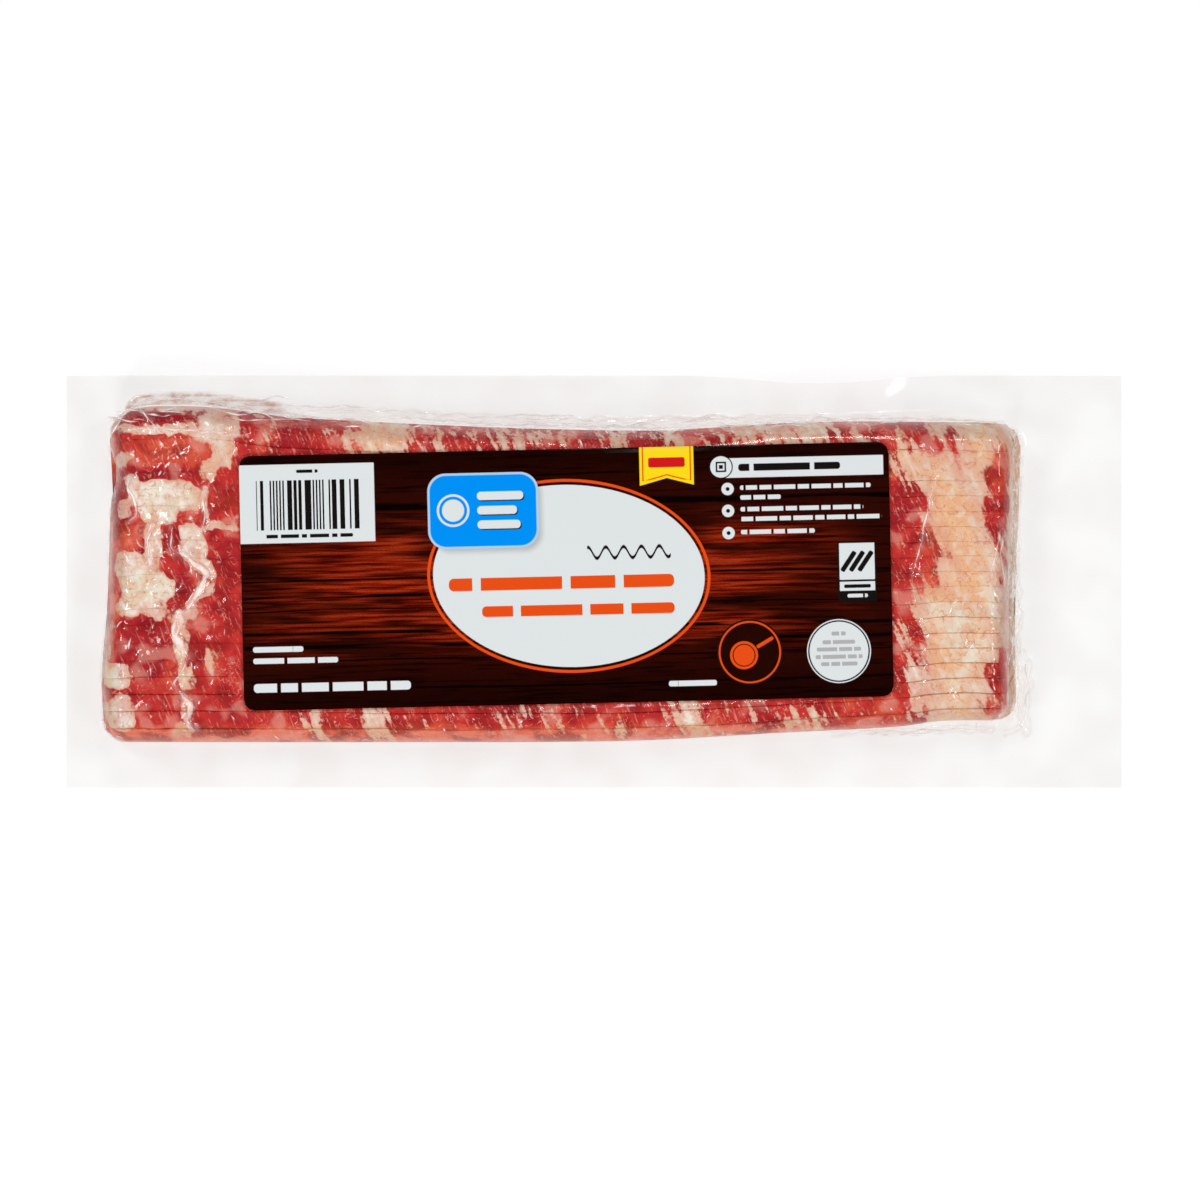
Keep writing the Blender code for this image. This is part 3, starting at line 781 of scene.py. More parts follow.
FOLDS = (  # height, half width, cloudiness, which also sets the painted highlight on its pleat, then the places it runs through
    (0.8, 1.2, 0.9, (-128.0, 9.0), (-124.9, 7.8), (-118.2, 2.3), (-120.9, -2.6), (-123.1, -6.9),
     (-127.4, -10.6)),
    (0.8, 1.5, 0.8, (-127.4, -10.6), (-129.2, -15.5), (-126.8, -20.4), (-124.3, -22.8)),
    (0.6, 0.8, 0.4, (-124.3, -22.8), (-126.2, -27.7), (-129.2, -31.4), (-126.8, -33.2)),
    (0.7, 1.1, 0.8, (-126.8, -33.2), (-123.7, -38.1), (-124.3, -42.4), (-121.9, -45.2)),
    (0.7, 0.8, 0.8, (-118.8, 29.2), (-119.7, 25.0), (-118.8, 20.1), (-120.3, 16.4), (-118.8, 13.9)),
    (0.7, 0.8, 0.9, (-143.0, 32.9), (-142.7, 28.6), (-140.9, 25.0), (-139.6, 20.7), (-142.7, 18.2)),
    (0.6, 0.7, 0.9, (-135.3, 17.6), (-136.9, 12.7), (-136.3, 7.8), (-135.3, 4.1)),
    (0.5, 0.5, 0.5, (-130.4, 18.2), (-129.2, 14.5), (-129.8, 10.9), (-128.0, 7.8)),
    (0.5, 0.7, 0.6, (104.4, 31.7), (102.9, 25.0), (101.7, 18.8), (99.5, 9.0), (97.4, 2.9)),
    (0.5, 0.35, 1.2, (124.9, 17.3), (123.7, 11.2), (122.5, 5.1), (121.3, -3.2)),
    (0.4, 0.6, 0.5, (124.3, 17.9), (125.5, 12.7), (124.6, 6.6), (126.2, 0.5), (124.0, -5.7)),
    (1.2, 0.5, 0.6, (129.2, 47.0), (130.7, 34.1), (129.5, 18.8), (131.1, 3.5), (129.8, -11.8),
     (131.4, -24.0)),
    (1.0, 0.5, 0.5, (131.7, 43.3), (132.3, 25.0), (131.4, 6.6), (132.9, -11.8), (132.0, -24.0),
     (130.1, -42.4)),
    (2.0, 0.7, 0.6, (131.1, -17.9), (134.7, -24.6), (135.6, -33.2), (134.4, -40.9), (135.3, -47.0)),
    (1.6, 0.5, 0.5, (130.4, -21.0), (132.9, -30.2), (132.3, -37.8), (133.5, -45.5), (128.6, -47.3)),
    (2.0, 0.6, 0.7, (-148.8, 44.6), (-144.5, 50.7), (-140.9, 55.6), (-136.6, 57.4)),
    (0.9, 0.5, 0.8, (-142.7, 55.6), (-138.4, 51.9), (-135.3, 48.2), (-132.3, 45.8)),
    (2.2, 0.6, 0.8, (-139.0, 56.8), (-129.8, 56.8), (-119.1, 55.9), (-110.8, 54.7), (-101.7, 52.8)),
    (0.6, 0.5, 0.6, (-147.6, 46.1), (-136.0, 47.0), (-119.1, 45.8), (-105.9, 44.6)),
    (1.2, 0.5, 0.7, (-121.9, 56.2), (-109.6, 53.1), (-97.4, 51.3), (-80.8, 49.5)),
    (1.4, 0.5, 0.6, (-151.3, -40.0), (-151.9, -44.2), (-148.8, -47.9), (-142.7, -49.5)),
    (0.9, 0.5, 0.6, (-148.2, 31.1), (-149.4, 21.9), (-150.0, 12.7)),
    (0.9, 0.5, 0.5, (-150.3, -5.7), (-151.3, -14.9), (-152.2, -24.0), (-152.2, -36.3)),
    (1.4, 0.5, 0.8, (-80.8, 50.2), (-59.4, 51.4), (-38.0, 49.5), (-10.4, 48.6), (14.1, 47.8), (38.6, 48.6)),
    (1.4, 0.5, 0.8, (38.6, 48.6), (60.0, 50.2), (84.5, 51.4), (102.9, 50.8), (127.4, 49.2)),
    (0.8, 0.4, 0.5, (-96.0, 53.6), (-62.0, 53.2), (-30.0, 51.4), (4.0, 50.6), (40.0, 51.2), (70.0, 52.6)),
    (0.9, 0.5, 0.6, (74.7, -47.6), (83.3, -46.3), (95.2, -46.9), (112.1, -45.8), (124.3, -46.3)),
)


def curl(x):
    """How much of the curl stands at this place along the far edge."""
    away = np.clip(np.abs(x - CURL_CENTRE) / CURL_HALF_LENGTH, 0, 1)
    return 0.5 + 0.5 * np.cos(math.pi * away)


def margin_height(x, y):
    """The height of the flat margin's upper web."""
    wave = MARGIN_WAVE * (np.sin(x / 38) + np.sin(x / 17 + y / 30))
    outward = ramp(y, CURL_START, POUCH_WIDTH / 2 - CURL_START)
    return FILM_FOOT + wave + CURL_RISE * curl(x) * outward**2


def from_walls(x, y):
    """How far outside the block a place is, and the film's reach there."""
    near, far = side_walls(x)
    left, right = end_walls(np.clip(y, near, far), near, far)
    past_left, past_right = np.clip(left - x, 0, None), np.clip(x - right, 0, None)
    past_near, past_far = np.clip(near - y, 0, None), np.clip(y - far, 0, None)
    away = np.hypot(past_left + past_right, past_near + past_far)
    pull = past_left * SKIRT_LEFT + past_right * SKIRT_RIGHT + past_near * SKIRT_NEAR + past_far * SKIRT_FAR
    return away, pull / np.maximum(past_left + past_right + past_near + past_far, 1e-6)


def shingled_top(x, y):
    """The height of whichever slice shows at a place."""
    near, far = side_walls(x)
    share = np.clip((y - near) / (far - near), 0, 1)
    height = 0 * x
    for number in range(len(SLICE_STRIPS)):
        start = crest_share(number, x)
        shows = share >= start - 1e-9
        top = slice_top(number, x, y, (share - start) * BLOCK_WIDTH)
        height = np.where(shows, top, height)
    return height


def folded(x, y):
    """The height that the folds add at a place, how much they cloud the film, and the painted shade on their
    flanks.
    """
    height, haze_and_glint, flank = 0 * x, 0 * x, 0 * x
    for number, (rise_by, half_width, clouding, *route) in enumerate(FOLDS):
        route = np.array(route)
        wobble = 0.5 * wander(x, y, 3.5, 500 + number)
        ragged = half_width * (1 + 0.4 * wander(x, y, 4, 530 + number))
        away = np.full(x.shape, FAR_AWAY)
        low, high = route.min(0) - FOLD_SEARCH, route.max(0) + FOLD_SEARCH
        near = (x > low[0]) & (x < high[0]) & (y > low[1]) & (y < high[1])
        away[near] = route_distance(x[near] + wobble[near], y[near] + wobble[near], route)
        ridge = np.exp(-((away / ragged) ** 2))
        height = np.maximum(height, rise_by * ridge)
        haze_and_glint = np.maximum(haze_and_glint, clouding * ridge * (0.65 + 0.35 * wander(x, y, 3, 560 + number)))
        flank = np.maximum(flank, np.exp(-(((away - 1.5 * half_width) / (0.3 + 0.2 * half_width)) ** 2)))
    return height, haze_and_glint, flank


def film_height(x, y):
    """The height of the upper web."""
    away, reach = from_walls(x, y)
    top = 0 * x
    for dx, dy in ((0, 0), (0, -BRIDGE), (0, BRIDGE), (BRIDGE, 0), (-BRIDGE, 0)):
        here_away, _ = from_walls(x + dx, y + dy)
        top = np.maximum(top, np.where(here_away <= 0, shingled_top(x + dx, y + dy), 0))
    foot = margin_height(x, y)
    slope = np.clip(1 - away / np.maximum(reach, SKIRT_SHARPNESS), 0, 1) ** SKIRT_HOLLOW
    return np.where(away <= 0, top + OVER_SLICES, foot + (WALL_HEIGHT + OVER_SHOULDER - foot) * slope)


def film_shine(tree):
    """How much the film mirrors, the same from its upper and its under side."""
    facing = put(tree, "LayerWeight", {"Blend": 0.5}).outputs["Facing"]
    return work_out(tree, "MULTIPLY_ADD", work_out(tree, "POWER", facing, 5.0), SLANTED_SHINE, STRAIGHT_SHINE)


def film_material():
    """Clear glossy film: it hardly tints what is under it, shines at its creases and clouds in its folds; its
    folds and pleats carry painted shade on their flanks, and the pleats a white painted highlight.
    """
    material = bpy.data.materials.new("clear_film")
    material.use_nodes = True
    tree = material.node_tree
    tree.nodes.remove(tree.nodes["Principled BSDF"])
    place = put(tree, "TexCoord").outputs["Object"]
    haze_and_glint, flank = attribute(tree, "haze_and_glint"), attribute(tree, "flank")
    mottle = spotted(tree, place, 420, 1)
    # Painted shade on the flanks of folds and pleats, and a tan tint where the film is gathered at the ends.
    shade = work_out(tree, "MULTIPLY", flank, rise(tree, mottle, 0.3, 0.7, 0.36, 0.6))
    tint = over(tree, shade, FILM_TINT, FILM_SHADE)
    clear = put(tree, "BsdfTransparent", {"Color": tint}).outputs[0]
    shine = put(tree, "BsdfGlossy", {"Color": (1, 1, 1, 1), "Roughness": 0.09}).outputs[0]
    body = put(tree, "MixShader", {0: film_shine(tree), 1: clear, 2: shine}).outputs[0]
    # A white haze: the film's milky clouding, and on the pleats a painted highlight.
    haze = put(tree, "BsdfDiffuse", {"Color": (0.99, 0.95, 0.93, 1)}).outputs[0]
    clouded = work_out(tree, "MULTIPLY", haze_and_glint, rise(tree, mottle, 0.36, 0.56, 0.3, 0.5))
    clouded = work_out(tree, "MINIMUM", clouded, 0.92)
    mixed = put(tree, "MixShader", {0: clouded, 1: body, 2: haze}).outputs[0]
    lamp_ray = put(tree, "LightPath").outputs["Is Shadow Ray"]
    passing = put(tree, "BsdfTransparent", {"Color": FILM_TINT}).outputs[0]
    mixed = put(tree, "MixShader", {0: lamp_ray, 1: mixed, 2: passing}).outputs[0]
    tree.links.new(mixed, tree.nodes["Material Output"].inputs["Surface"])
    return material


def plain_film_material():
    """The lower web: the same film, flat and hardly creased."""
    material = bpy.data.materials.new("plain_film")
    material.use_nodes = True
    tree = material.node_tree
    tree.nodes.remove(tree.nodes["Principled BSDF"])
    mottle = rise(tree, spotted(tree, put(tree, "TexCoord").outputs["Object"], 60, 1), 0.3, 0.7, 0.0, 0.05)
    tint = over(tree, mottle, FILM_TINT, FILM_SHADE)
    clear = put(tree, "BsdfTransparent", {"Color": tint}).outputs[0]
    shine = put(tree, "BsdfGlossy", {"Color": (1, 1, 1, 1), "Roughness": 0.12}).outputs[0]
    body = put(tree, "MixShader", {0: film_shine(tree), 1: clear, 2: shine}).outputs[0]
    tree.links.new(body, tree.nodes["Material Output"].inputs["Surface"])
    return material


def graded(reach, fine_zones):
    """Places from one edge of the pouch to the other, closer together in the fine zones."""
    places = [-reach]
    while places[-1] < reach:
        fine = any(low <= places[-1] < high for low, high in fine_zones)
        places.append(places[-1] + (FINE_CELL if fine else COARSE_CELL))
    return np.array(places) * reach / places[-1]


def drawn_by_curl(x, y):
    """How far the curled stretch of the margin has drawn the film in."""
    return CURL_DRAW_IN * curl(x) * ramp(y, DRAWN_FROM, POUCH_WIDTH / 2 - DRAWN_FROM) ** 2


def web(name, along, across, height_of, turned, material):
    """One web of film as a sheet of points."""
    x, y = np.meshgrid(along, across, indexing="ij")
    height, values = height_of(x, y)
    flat = np.stack([x, y - drawn_by_curl(x, y), height], axis=2).reshape(-1, 3)
    faces = sheet_faces(*x.shape, 0, turned).tolist()
    values = {key: np.ravel(value + 0 * x) for key, value in values.items()}
    made = mesh_piece(name, flat, faces, material, values)
    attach(made, "root")
    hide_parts("pouch")


FOLD_CLOUD, FOLD_SHADE = 0.5, 0.3
RIPPLE, RIPPLE_SIZE, RIPPLE_REACH = 0.05, 1.5, 6.0
CALM_RIGHT = 0.6  # the share of the ripple that is gone at the right


def upper_web(x, y):
    """The shrunk web over the slices, with its folds kept off the label."""
    along, up = label_place(x, y)
    beside = np.maximum(np.abs(along) - LABEL_LENGTH / 2, np.abs(up) - LABEL_WIDTH / 2)
    bare = ramp(beside, 0.5, 2)
    fold, haze_and_glint, flank = folded(x, y)
    haze_and_glint, flank = FOLD_CLOUD * haze_and_glint, FOLD_SHADE * flank
    away, _ = from_walls(x, y)
    streaky = np.clip(0.5 + 1.6 * wander(0.25 * x, y, 1.3, 640), 0, 1)
    drawn = np.clip(0.5 + 1.6 * wander(x, 0.25 * y, 1.2, 641), 0, 1)
    ring = ramp(away, 0, 0.4) * ramp(-away, -4.6, 0.8)
    gusset = ring * ramp(y, 50, 1.5) * ramp(-x, 92, 8)
    left_end = ring * ramp(-away, -2.6, 0.6) * ramp(-x, 146, 2)
    right_end = ring * ramp(x, 127, 2)
    gathered = ((gusset, 1.3, 0.7), (left_end * drawn, 0.5, 0.6), (right_end * drawn, 0.3, 2.2))
    for place, tinted, clouding in gathered:
        flank = np.maximum(flank, tinted * place * (0.35 + 0.65 * streaky))
        haze_and_glint = np.maximum(haze_and_glint, clouding * place * (1 - streaky))
    ripple = RIPPLE * wander(x, y, RIPPLE_SIZE, 642) * ramp(-away, -RIPPLE_REACH, RIPPLE_REACH)
    ripple *= 1 - CALM_RIGHT * ramp(x, 60, 30)
    height = np.minimum(film_height(x, y) + (fold + ripple) * bare, cad_high.z / MM)
    return height, {"haze_and_glint": haze_and_glint * bare, "flank": flank * bare}


def lower_web(x, y):
    """The flat web under the slices, which lifts to meet the other one in the margin."""
    away, _ = from_walls(x, y)
    settle = ramp(away, 0, 6)
    lifted = margin_height(x, y) - WELD_GAP
    height = OVER_TABLE + (lifted - OVER_TABLE) * settle * settle * (3 - 2 * settle)
    return height, {}


FILM_TINT = (0.985, 0.986, 0.983, 1)
STRAIGHT_SHINE, SLANTED_SHINE = 0.021, 0.7  # what it mirrors of light that falls on it straight and slanting
# Painted shade for the dark flanks of folds and pleats, also a tan tint on the gathered film and a faint
# mottle on the lower web.
FILM_SHADE = (0.48, 0.22, 0.14, 1)
film = film_material()
across_fine = graded(POUCH_WIDTH / 2, FINE_ACROSS)
web("film_upper_web", graded(POUCH_LENGTH / 2, FINE_ALONG), across_fine, upper_web, False, film)
plan = POUCH_LENGTH, POUCH_WIDTH
lower_steps = [np.linspace(-side / 2, side / 2, round(side / LOWER_CELL)) for side in plan]
web("film_lower_web", *lower_steps, lower_web, True, plain_film_material())


# Where the film is drawn in it stands in small sharp pleats, shown as white ticks with dark sides: the white
# is a painted highlight and the dark a painted shade. They are thin ridges of the same film, along its folds
# and scattered over the block's ends.
PLEAT_STEP = 0.7
PLEAT_WANDER, PLEAT_WANDER_SIZE = 0.35, 4.0
PLEAT_LIFT = 0.06  # how far a pleat's foot stands over the web
WIDE_PLEAT, SLIM_PLEAT = 1.15, 0.55  # how wide a fold's pleat is, against the fold
PLEAT_PROFILE = (  # across in half widths, share of the height, painted highlight, painted shade
    (-1.6, 0.0, 0.0, 0.0),
    (-1.0, 0.1, 0.0, 1.0),
    (-0.5, 0.6, 2.0, 0.1),
    (0.0, 1.0, 2.6, 0.0),
    (0.5, 0.6, 2.0, 0.1),
    (1.0, 0.1, 0.0, 1.0),
    (1.6, 0.0, 0.0, 0.0),
)
TICKS = (  # how many, from and to in x and y, heading and its spread in degrees, shortest, longest
    (24, (-149, -103), (-44, 50), 90, 40, 1.6, 4.2),
    (12, (-134, -108), (33, 45), 75, 50, 1.4, 3.0),
    (20, (-100, 126), (40, 47), 112, 25, 1.0, 3.2),
    (18, (-100, 96), (-48.5, -39.5), 95, 50, 0.8, 2.2),
    (14, (88, 127), (-45, 44), 95, 40, 1.0, 4.0),
    (16, (-146, -84), (49, 57), 178, 10, 5.0, 18.0),
    (16, (-80, 126), (47.6, 50.6), 178, 8, 5.0, 18.0),
    (5, (128, 131), (-40, 44), 90, 10, 6.0, 14.0),
)


def pleat(route, height, half_width, whiteness, draw):
    """The points of one pleat along a route: x, y, height over the film, painted highlight and painted shade.
    """
    places = [np.array(route[0], float)]
    for a, b in zip(route, route[1:]):
        a, b = np.array(a, float), np.array(b, float)
        steps = max(2, round(np.hypot(*(b - a)) / PLEAT_STEP))
        places += [a + (b - a) * n / steps for n in range(1, steps + 1)]
    places = np.array(places)
    for _ in range(3):
        places[1:-1] = (places[:-2] + 2 * places[1:-1] + places[2:]) / 4
    seed = draw.randrange(10000)
    for axis in (0, 1):
        places[:, axis] += PLEAT_WANDER * wander(*places.T, PLEAT_WANDER_SIZE, seed + axis)
    heading = np.gradient(places, axis=0)
    side = np.stack([-heading[:, 1], heading[:, 0]], axis=1) / np.hypot(*heading.T)[:, None]
    share = np.linspace(0, 1, len(places))
    swell = np.sin(math.pi * share) ** 0.6 * (0.75 + 0.35 * wander(*places.T, 3, seed + 2))
    swell = np.clip(swell, 0.05, 1.2)
    rows = []
    for across, up, white, side_shade in PLEAT_PROFILE:
        spot = places + side * (across * half_width * swell)[:, None]
        darkened = side_shade * min(1, 2 * half_width) * np.sqrt(swell)
        rows.append(np.stack([*spot.T, up * height * swell, white * whiteness * swell, darkened], axis=1))
    return np.stack(rows, axis=1)


def film_pleats(material):
    """All the pleats, as one piece lying on the upper web."""
    draw = random.Random(77)
    strips = []
    for rise_by, half_width, clouding, *route in FOLDS:
        wide = WIDE_PLEAT if half_width > 1 else SLIM_PLEAT
        whiteness = clouding * (0.75 if half_width > 1 else 1)
        strips.append(pleat(route, 0.5 * rise_by, wide * half_width, whiteness, draw))
        if route[0][0] > 127:
            strips[-1][:, :, 4] *= 0.3
        for _ in range(2 if route[0][0] < 100 else 0):
            k = draw.randrange(len(route) - 1)
            start = np.array(route[k]) + [draw.uniform(-1.5, 1.5), draw.uniform(-1.5, 1.5)]
            end = start + (np.array(route[k + 1]) - route[k]) * draw.uniform(0.4, 1.0)
            strips.append(pleat((start, end), 0.4, 0.26, clouding, draw))
    for count, (x0, x1), (y0, y1), heading, spread, shortest, longest in TICKS:
        for _ in range(count):
            length = draw.uniform(shortest, longest)
            turn = math.radians(heading + draw.uniform(-spread, spread))
            middle = np.array([draw.uniform(x0, x1), draw.uniform(y0, y1)])
            half = 0.5 * length * np.array([math.cos(turn), math.sin(turn)])
            bend = draw.uniform(-0.15, 0.15) * length * np.array([-math.sin(turn), math.cos(turn)])
            route = (middle - half, middle + bend, middle + half)
            height, half_width = draw.uniform(0.25, 0.6), draw.uniform(0.22, 0.5)
            strips.append(pleat(route, height, half_width, draw.uniform(0.7, 1.1), draw))
    points, faces, haze_and_glint, flank = [], [], [], []
    count = 0
    for strip in strips:
        along, up = label_place(strip[:, :, 0], strip[:, :, 1])
        inside = (np.abs(along) < LABEL_LENGTH / 2 + 0.3) & (np.abs(up) < LABEL_WIDTH / 2 + 0.3)
        if inside.any() or len(strip) < 3:
            continue
        faces += sheet_faces(*strip.shape[:2], count, True).tolist()
        count += strip.shape[0] * strip.shape[1]
        points.append(strip[:, :, :3].reshape(-1, 3))
        haze_and_glint.append(strip[:, :, 3].ravel())
        flank.append(strip[:, :, 4].ravel())
    flat = np.concatenate(points)
    height, _ = upper_web(flat[:, 0], flat[:, 1])
    flat[:, 2] = np.minimum(height + PLEAT_LIFT + flat[:, 2], cad_high.z / MM)
    flat[:, 1] -= drawn_by_curl(flat[:, 0], flat[:, 1])
    values = {"haze_and_glint": np.concatenate(haze_and_glint), "flank": np.concatenate(flank)}
    made = mesh_piece("film_pleats", flat, faces, material, values)
    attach(made, "root")
    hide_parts("pouch")


film_pleats(film)


# The label is a printed paper-backed film stuck to the pouch: dark planks of smoked wood, with a white oval
# panel, a blue badge and small panels of bars and discs, all plain shapes, under a thin satin varnish.
WOOD_DARK = (0.016, 0.0018, 0.0004, 1)
WOOD_BLACK = (0.002, 0.0003, 0.0001, 1)
WOOD_RED = (0.21, 0.009, 0.002, 1)
WOOD_ORANGE = (0.42, 0.042, 0.01, 1)
INK_WHITE = (0.71, 0.745, 0.755, 1)
INK_GREY = (0.42, 0.42, 0.42, 1)
INK_BLACK = (0.008, 0.006, 0.006, 1)
INK_ORANGE = (0.78, 0.075, 0.008, 1)
INK_BLUE = (0.0, 0.27, 0.88, 1)
INK_PALE_BLUE = (0.42, 0.6, 0.78, 1)
INK_YELLOW = (0.93, 0.68, 0.01, 1)
INK_RED = (0.62, 0.01, 0.012, 1)
PLANK_JOINTS = (  # how far up the label, half width
    (31.0, 0.3),
    (22.3, 0.9),
    (8.6, 0.4),
    (0.4, 0.32),
    (-4.4, 0.55),
    (-8.4, 0.2),
    (-15.6, 0.5),
    (-20.0, 0.6),
    (-24.4, 0.25),
    (-33.0, 0.35),
)


def print_box_group():
    """A rounded box on the label, as a mask: sizes in mm, from the label's middle."""
    inputs = [("Place", "Vector", None), ("Middle", "Vector", None), ("Straight Half", "Vector", None)]
    inputs += [("Corner", "Float", 0.3), ("Blur", "Float", 0.12)]
    group, fed, given = start_group("print_box", inputs, [("Mask", "Float")])
    away = put(group, "VectorMath", {0: fed["Place"], 1: fed["Middle"]}, operation="SUBTRACT").outputs[0]
    away = put(group, "VectorMath", {0: away}, operation="ABSOLUTE").outputs[0]
    away = put(group, "VectorMath", {0: away, 1: fed["Straight Half"]}, operation="SUBTRACT").outputs[0]
    away = put(group, "VectorMath", {0: away, 1: (0, 0, 0)}, operation="MAXIMUM").outputs[0]
    distance = put(group, "VectorMath", {0: away}, operation="LENGTH").outputs["Value"]
    past = work_out(group, "SUBTRACT", distance, fed["Corner"])
    share = work_out(group, "DIVIDE", past, fed["Blur"])
    group.links.new(rise(group, share, 1.0, -1.0), given["Mask"])
    return group


def print_disc_group():
    """A disc or an oval on the label, as a mask, with a ring's mask at a distance outside it."""
    inputs = [("Place", "Vector", None), ("Middle", "Vector", None), ("Radii", "Vector", None)]
    inputs += [("Ring Gap", "Float", 0.5), ("Ring Width", "Float", 0.4)]
    group, fed, given = start_group("print_disc", inputs, [("Mask", "Float"), ("Ring", "Float")])
    away = put(group, "VectorMath", {0: fed["Place"], 1: fed["Middle"]}, operation="SUBTRACT").outputs[0]
    away = put(group, "VectorMath", {0: away, 1: (1, 1, 0)}, operation="MULTIPLY").outputs[0]
    share = put(group, "VectorMath", {0: away, 1: fed["Radii"]}, operation="DIVIDE").outputs[0]
    length = put(group, "VectorMath", {0: share}, operation="LENGTH").outputs["Value"]
    real = put(group, "VectorMath", {0: away}, operation="LENGTH").outputs["Value"]
    edge_at = work_out(group, "DIVIDE", real, work_out(group, "MAXIMUM", length, 0.01))
    past = work_out(group, "SUBTRACT", real, edge_at)
    group.links.new(rise(group, past, 0.12, -0.12), given["Mask"])
    middle = work_out(group, "MULTIPLY_ADD", fed["Ring Width"], 0.5, fed["Ring Gap"])
    off = work_out(group, "ABSOLUTE", work_out(group, "SUBTRACT", past, middle))
    edge = work_out(group, "SUBTRACT", off, work_out(group, "MULTIPLY", fed["Ring Width"], 0.5))
    group.links.new(rise(group, edge, 0.12, -0.12), given["Ring"])
    return group


def print_bars_group():
    """Breaks a printed line into bars as long as words, at places that a seed sets."""
    inputs = [("Place", "Vector", None), ("Length", "Float", 6.0)]
    inputs += [("Gap", "Float", 0.7), ("Seed", "Float", 0.0)]
    group, fed, given = start_group("print_bars", inputs, [("Mask", "Float")])
    along = put(group, "SeparateXYZ", {0: fed["Place"]}).outputs["X"]
    along = work_out(group, "ADD", work_out(group, "DIVIDE", along, fed["Length"]), fed["Seed"])
    cell = work_out(group, "FLOOR", along)
    chance = put(group, "TexWhiteNoise", {"W": cell}, noise_dimensions="1D").outputs["Value"]
    gap_at = work_out(group, "MULTIPLY_ADD", chance, 0.6, 0.2)
    within = work_out(group, "SUBTRACT", along, cell)
    off = work_out(group, "ABSOLUTE", work_out(group, "SUBTRACT", within, gap_at))
    off = work_out(group, "MULTIPLY", off, fed["Length"])
    half = work_out(group, "MULTIPLY", fed["Gap"], 0.5)
    group.links.new(rise(group, work_out(group, "SUBTRACT", off, half), -0.1, 0.1), given["Mask"])
    return group


class Press:
    """Lays inks on the label, one shape after another."""

    def __init__(self, tree, place):
        self.tree, self.place, self.colour = tree, place, None
        self.box_group, self.disc_group = print_box_group(), print_disc_group()
        self.bars_group = print_bars_group()

    def lay(self, mask, ink):
        """Prints this ink where the mask is 1."""
        self.colour = over(self.tree, mask, self.colour, ink)

    def turned(self, middle, turn):
        """The place on the label, turned about a shape's middle."""
        if not turn:
            return self.place
        fed = {"Vector": self.place, "Center": (*middle, 0), "Angle": turn}
        return put(self.tree, "VectorRotate", fed, rotation_type="Z_AXIS").outputs[0]

    def box(self, middle, half, ink, corner=0.3, turn=0.0, blur=0.12, share=1.0):
        """A rounded box."""
        straight = (half[0] - corner, half[1] - corner, 99)
        fed = {"Place": self.turned(middle, turn), "Middle": (*middle, 0), "Straight Half": straight}
        mask = place_group(self.tree, self.box_group, {**fed, "Corner": corner, "Blur": blur})["Mask"]
        if share != 1.0:
            mask = work_out(self.tree, "MULTIPLY", mask, share)
        if ink is not None:
            self.lay(mask, ink)
        return mask

    def disc(self, middle, radii, ink, turn=0.0, ring=None, ring_ink=None):
        """A disc or an oval, and a ring round it."""
        fed = {"Place": self.turned(middle, turn), "Middle": (*middle, 0), "Radii": (*radii, 99)}
        if ring:
            fed.update({"Ring Gap": ring[0], "Ring Width": ring[1]})
        masks = place_group(self.tree, self.disc_group, fed)
        if ink is not None:
            self.lay(masks["Mask"], ink)
        if ring:
            self.lay(masks["Ring"], ring_ink)
        return masks["Mask"]

    def bars(self, left, right, level, height, ink, length=6.0, gap=0.7, seed=0.0):
        """A line of bars as long as words."""
        middle, half = ((left + right) / 2, level), ((right - left) / 2, height / 2)
        line = self.box(middle, half, None, corner=height * 0.4)
        fed = {"Place": self.place, "Length": length, "Gap": gap, "Seed": seed}
        breaks = place_group(self.tree, self.bars_group, fed)["Mask"]
        self.lay(work_out(self.tree, "MULTIPLY", line, breaks), ink)


def flat_spots(tree, place, scale, detail=2.0):
    """Noise over the flat print."""
    fed = {"Vector": place, "Scale": scale, "Detail": detail}
    return put(tree, "TexNoise", fed, noise_dimensions="2D").outputs["Fac"]


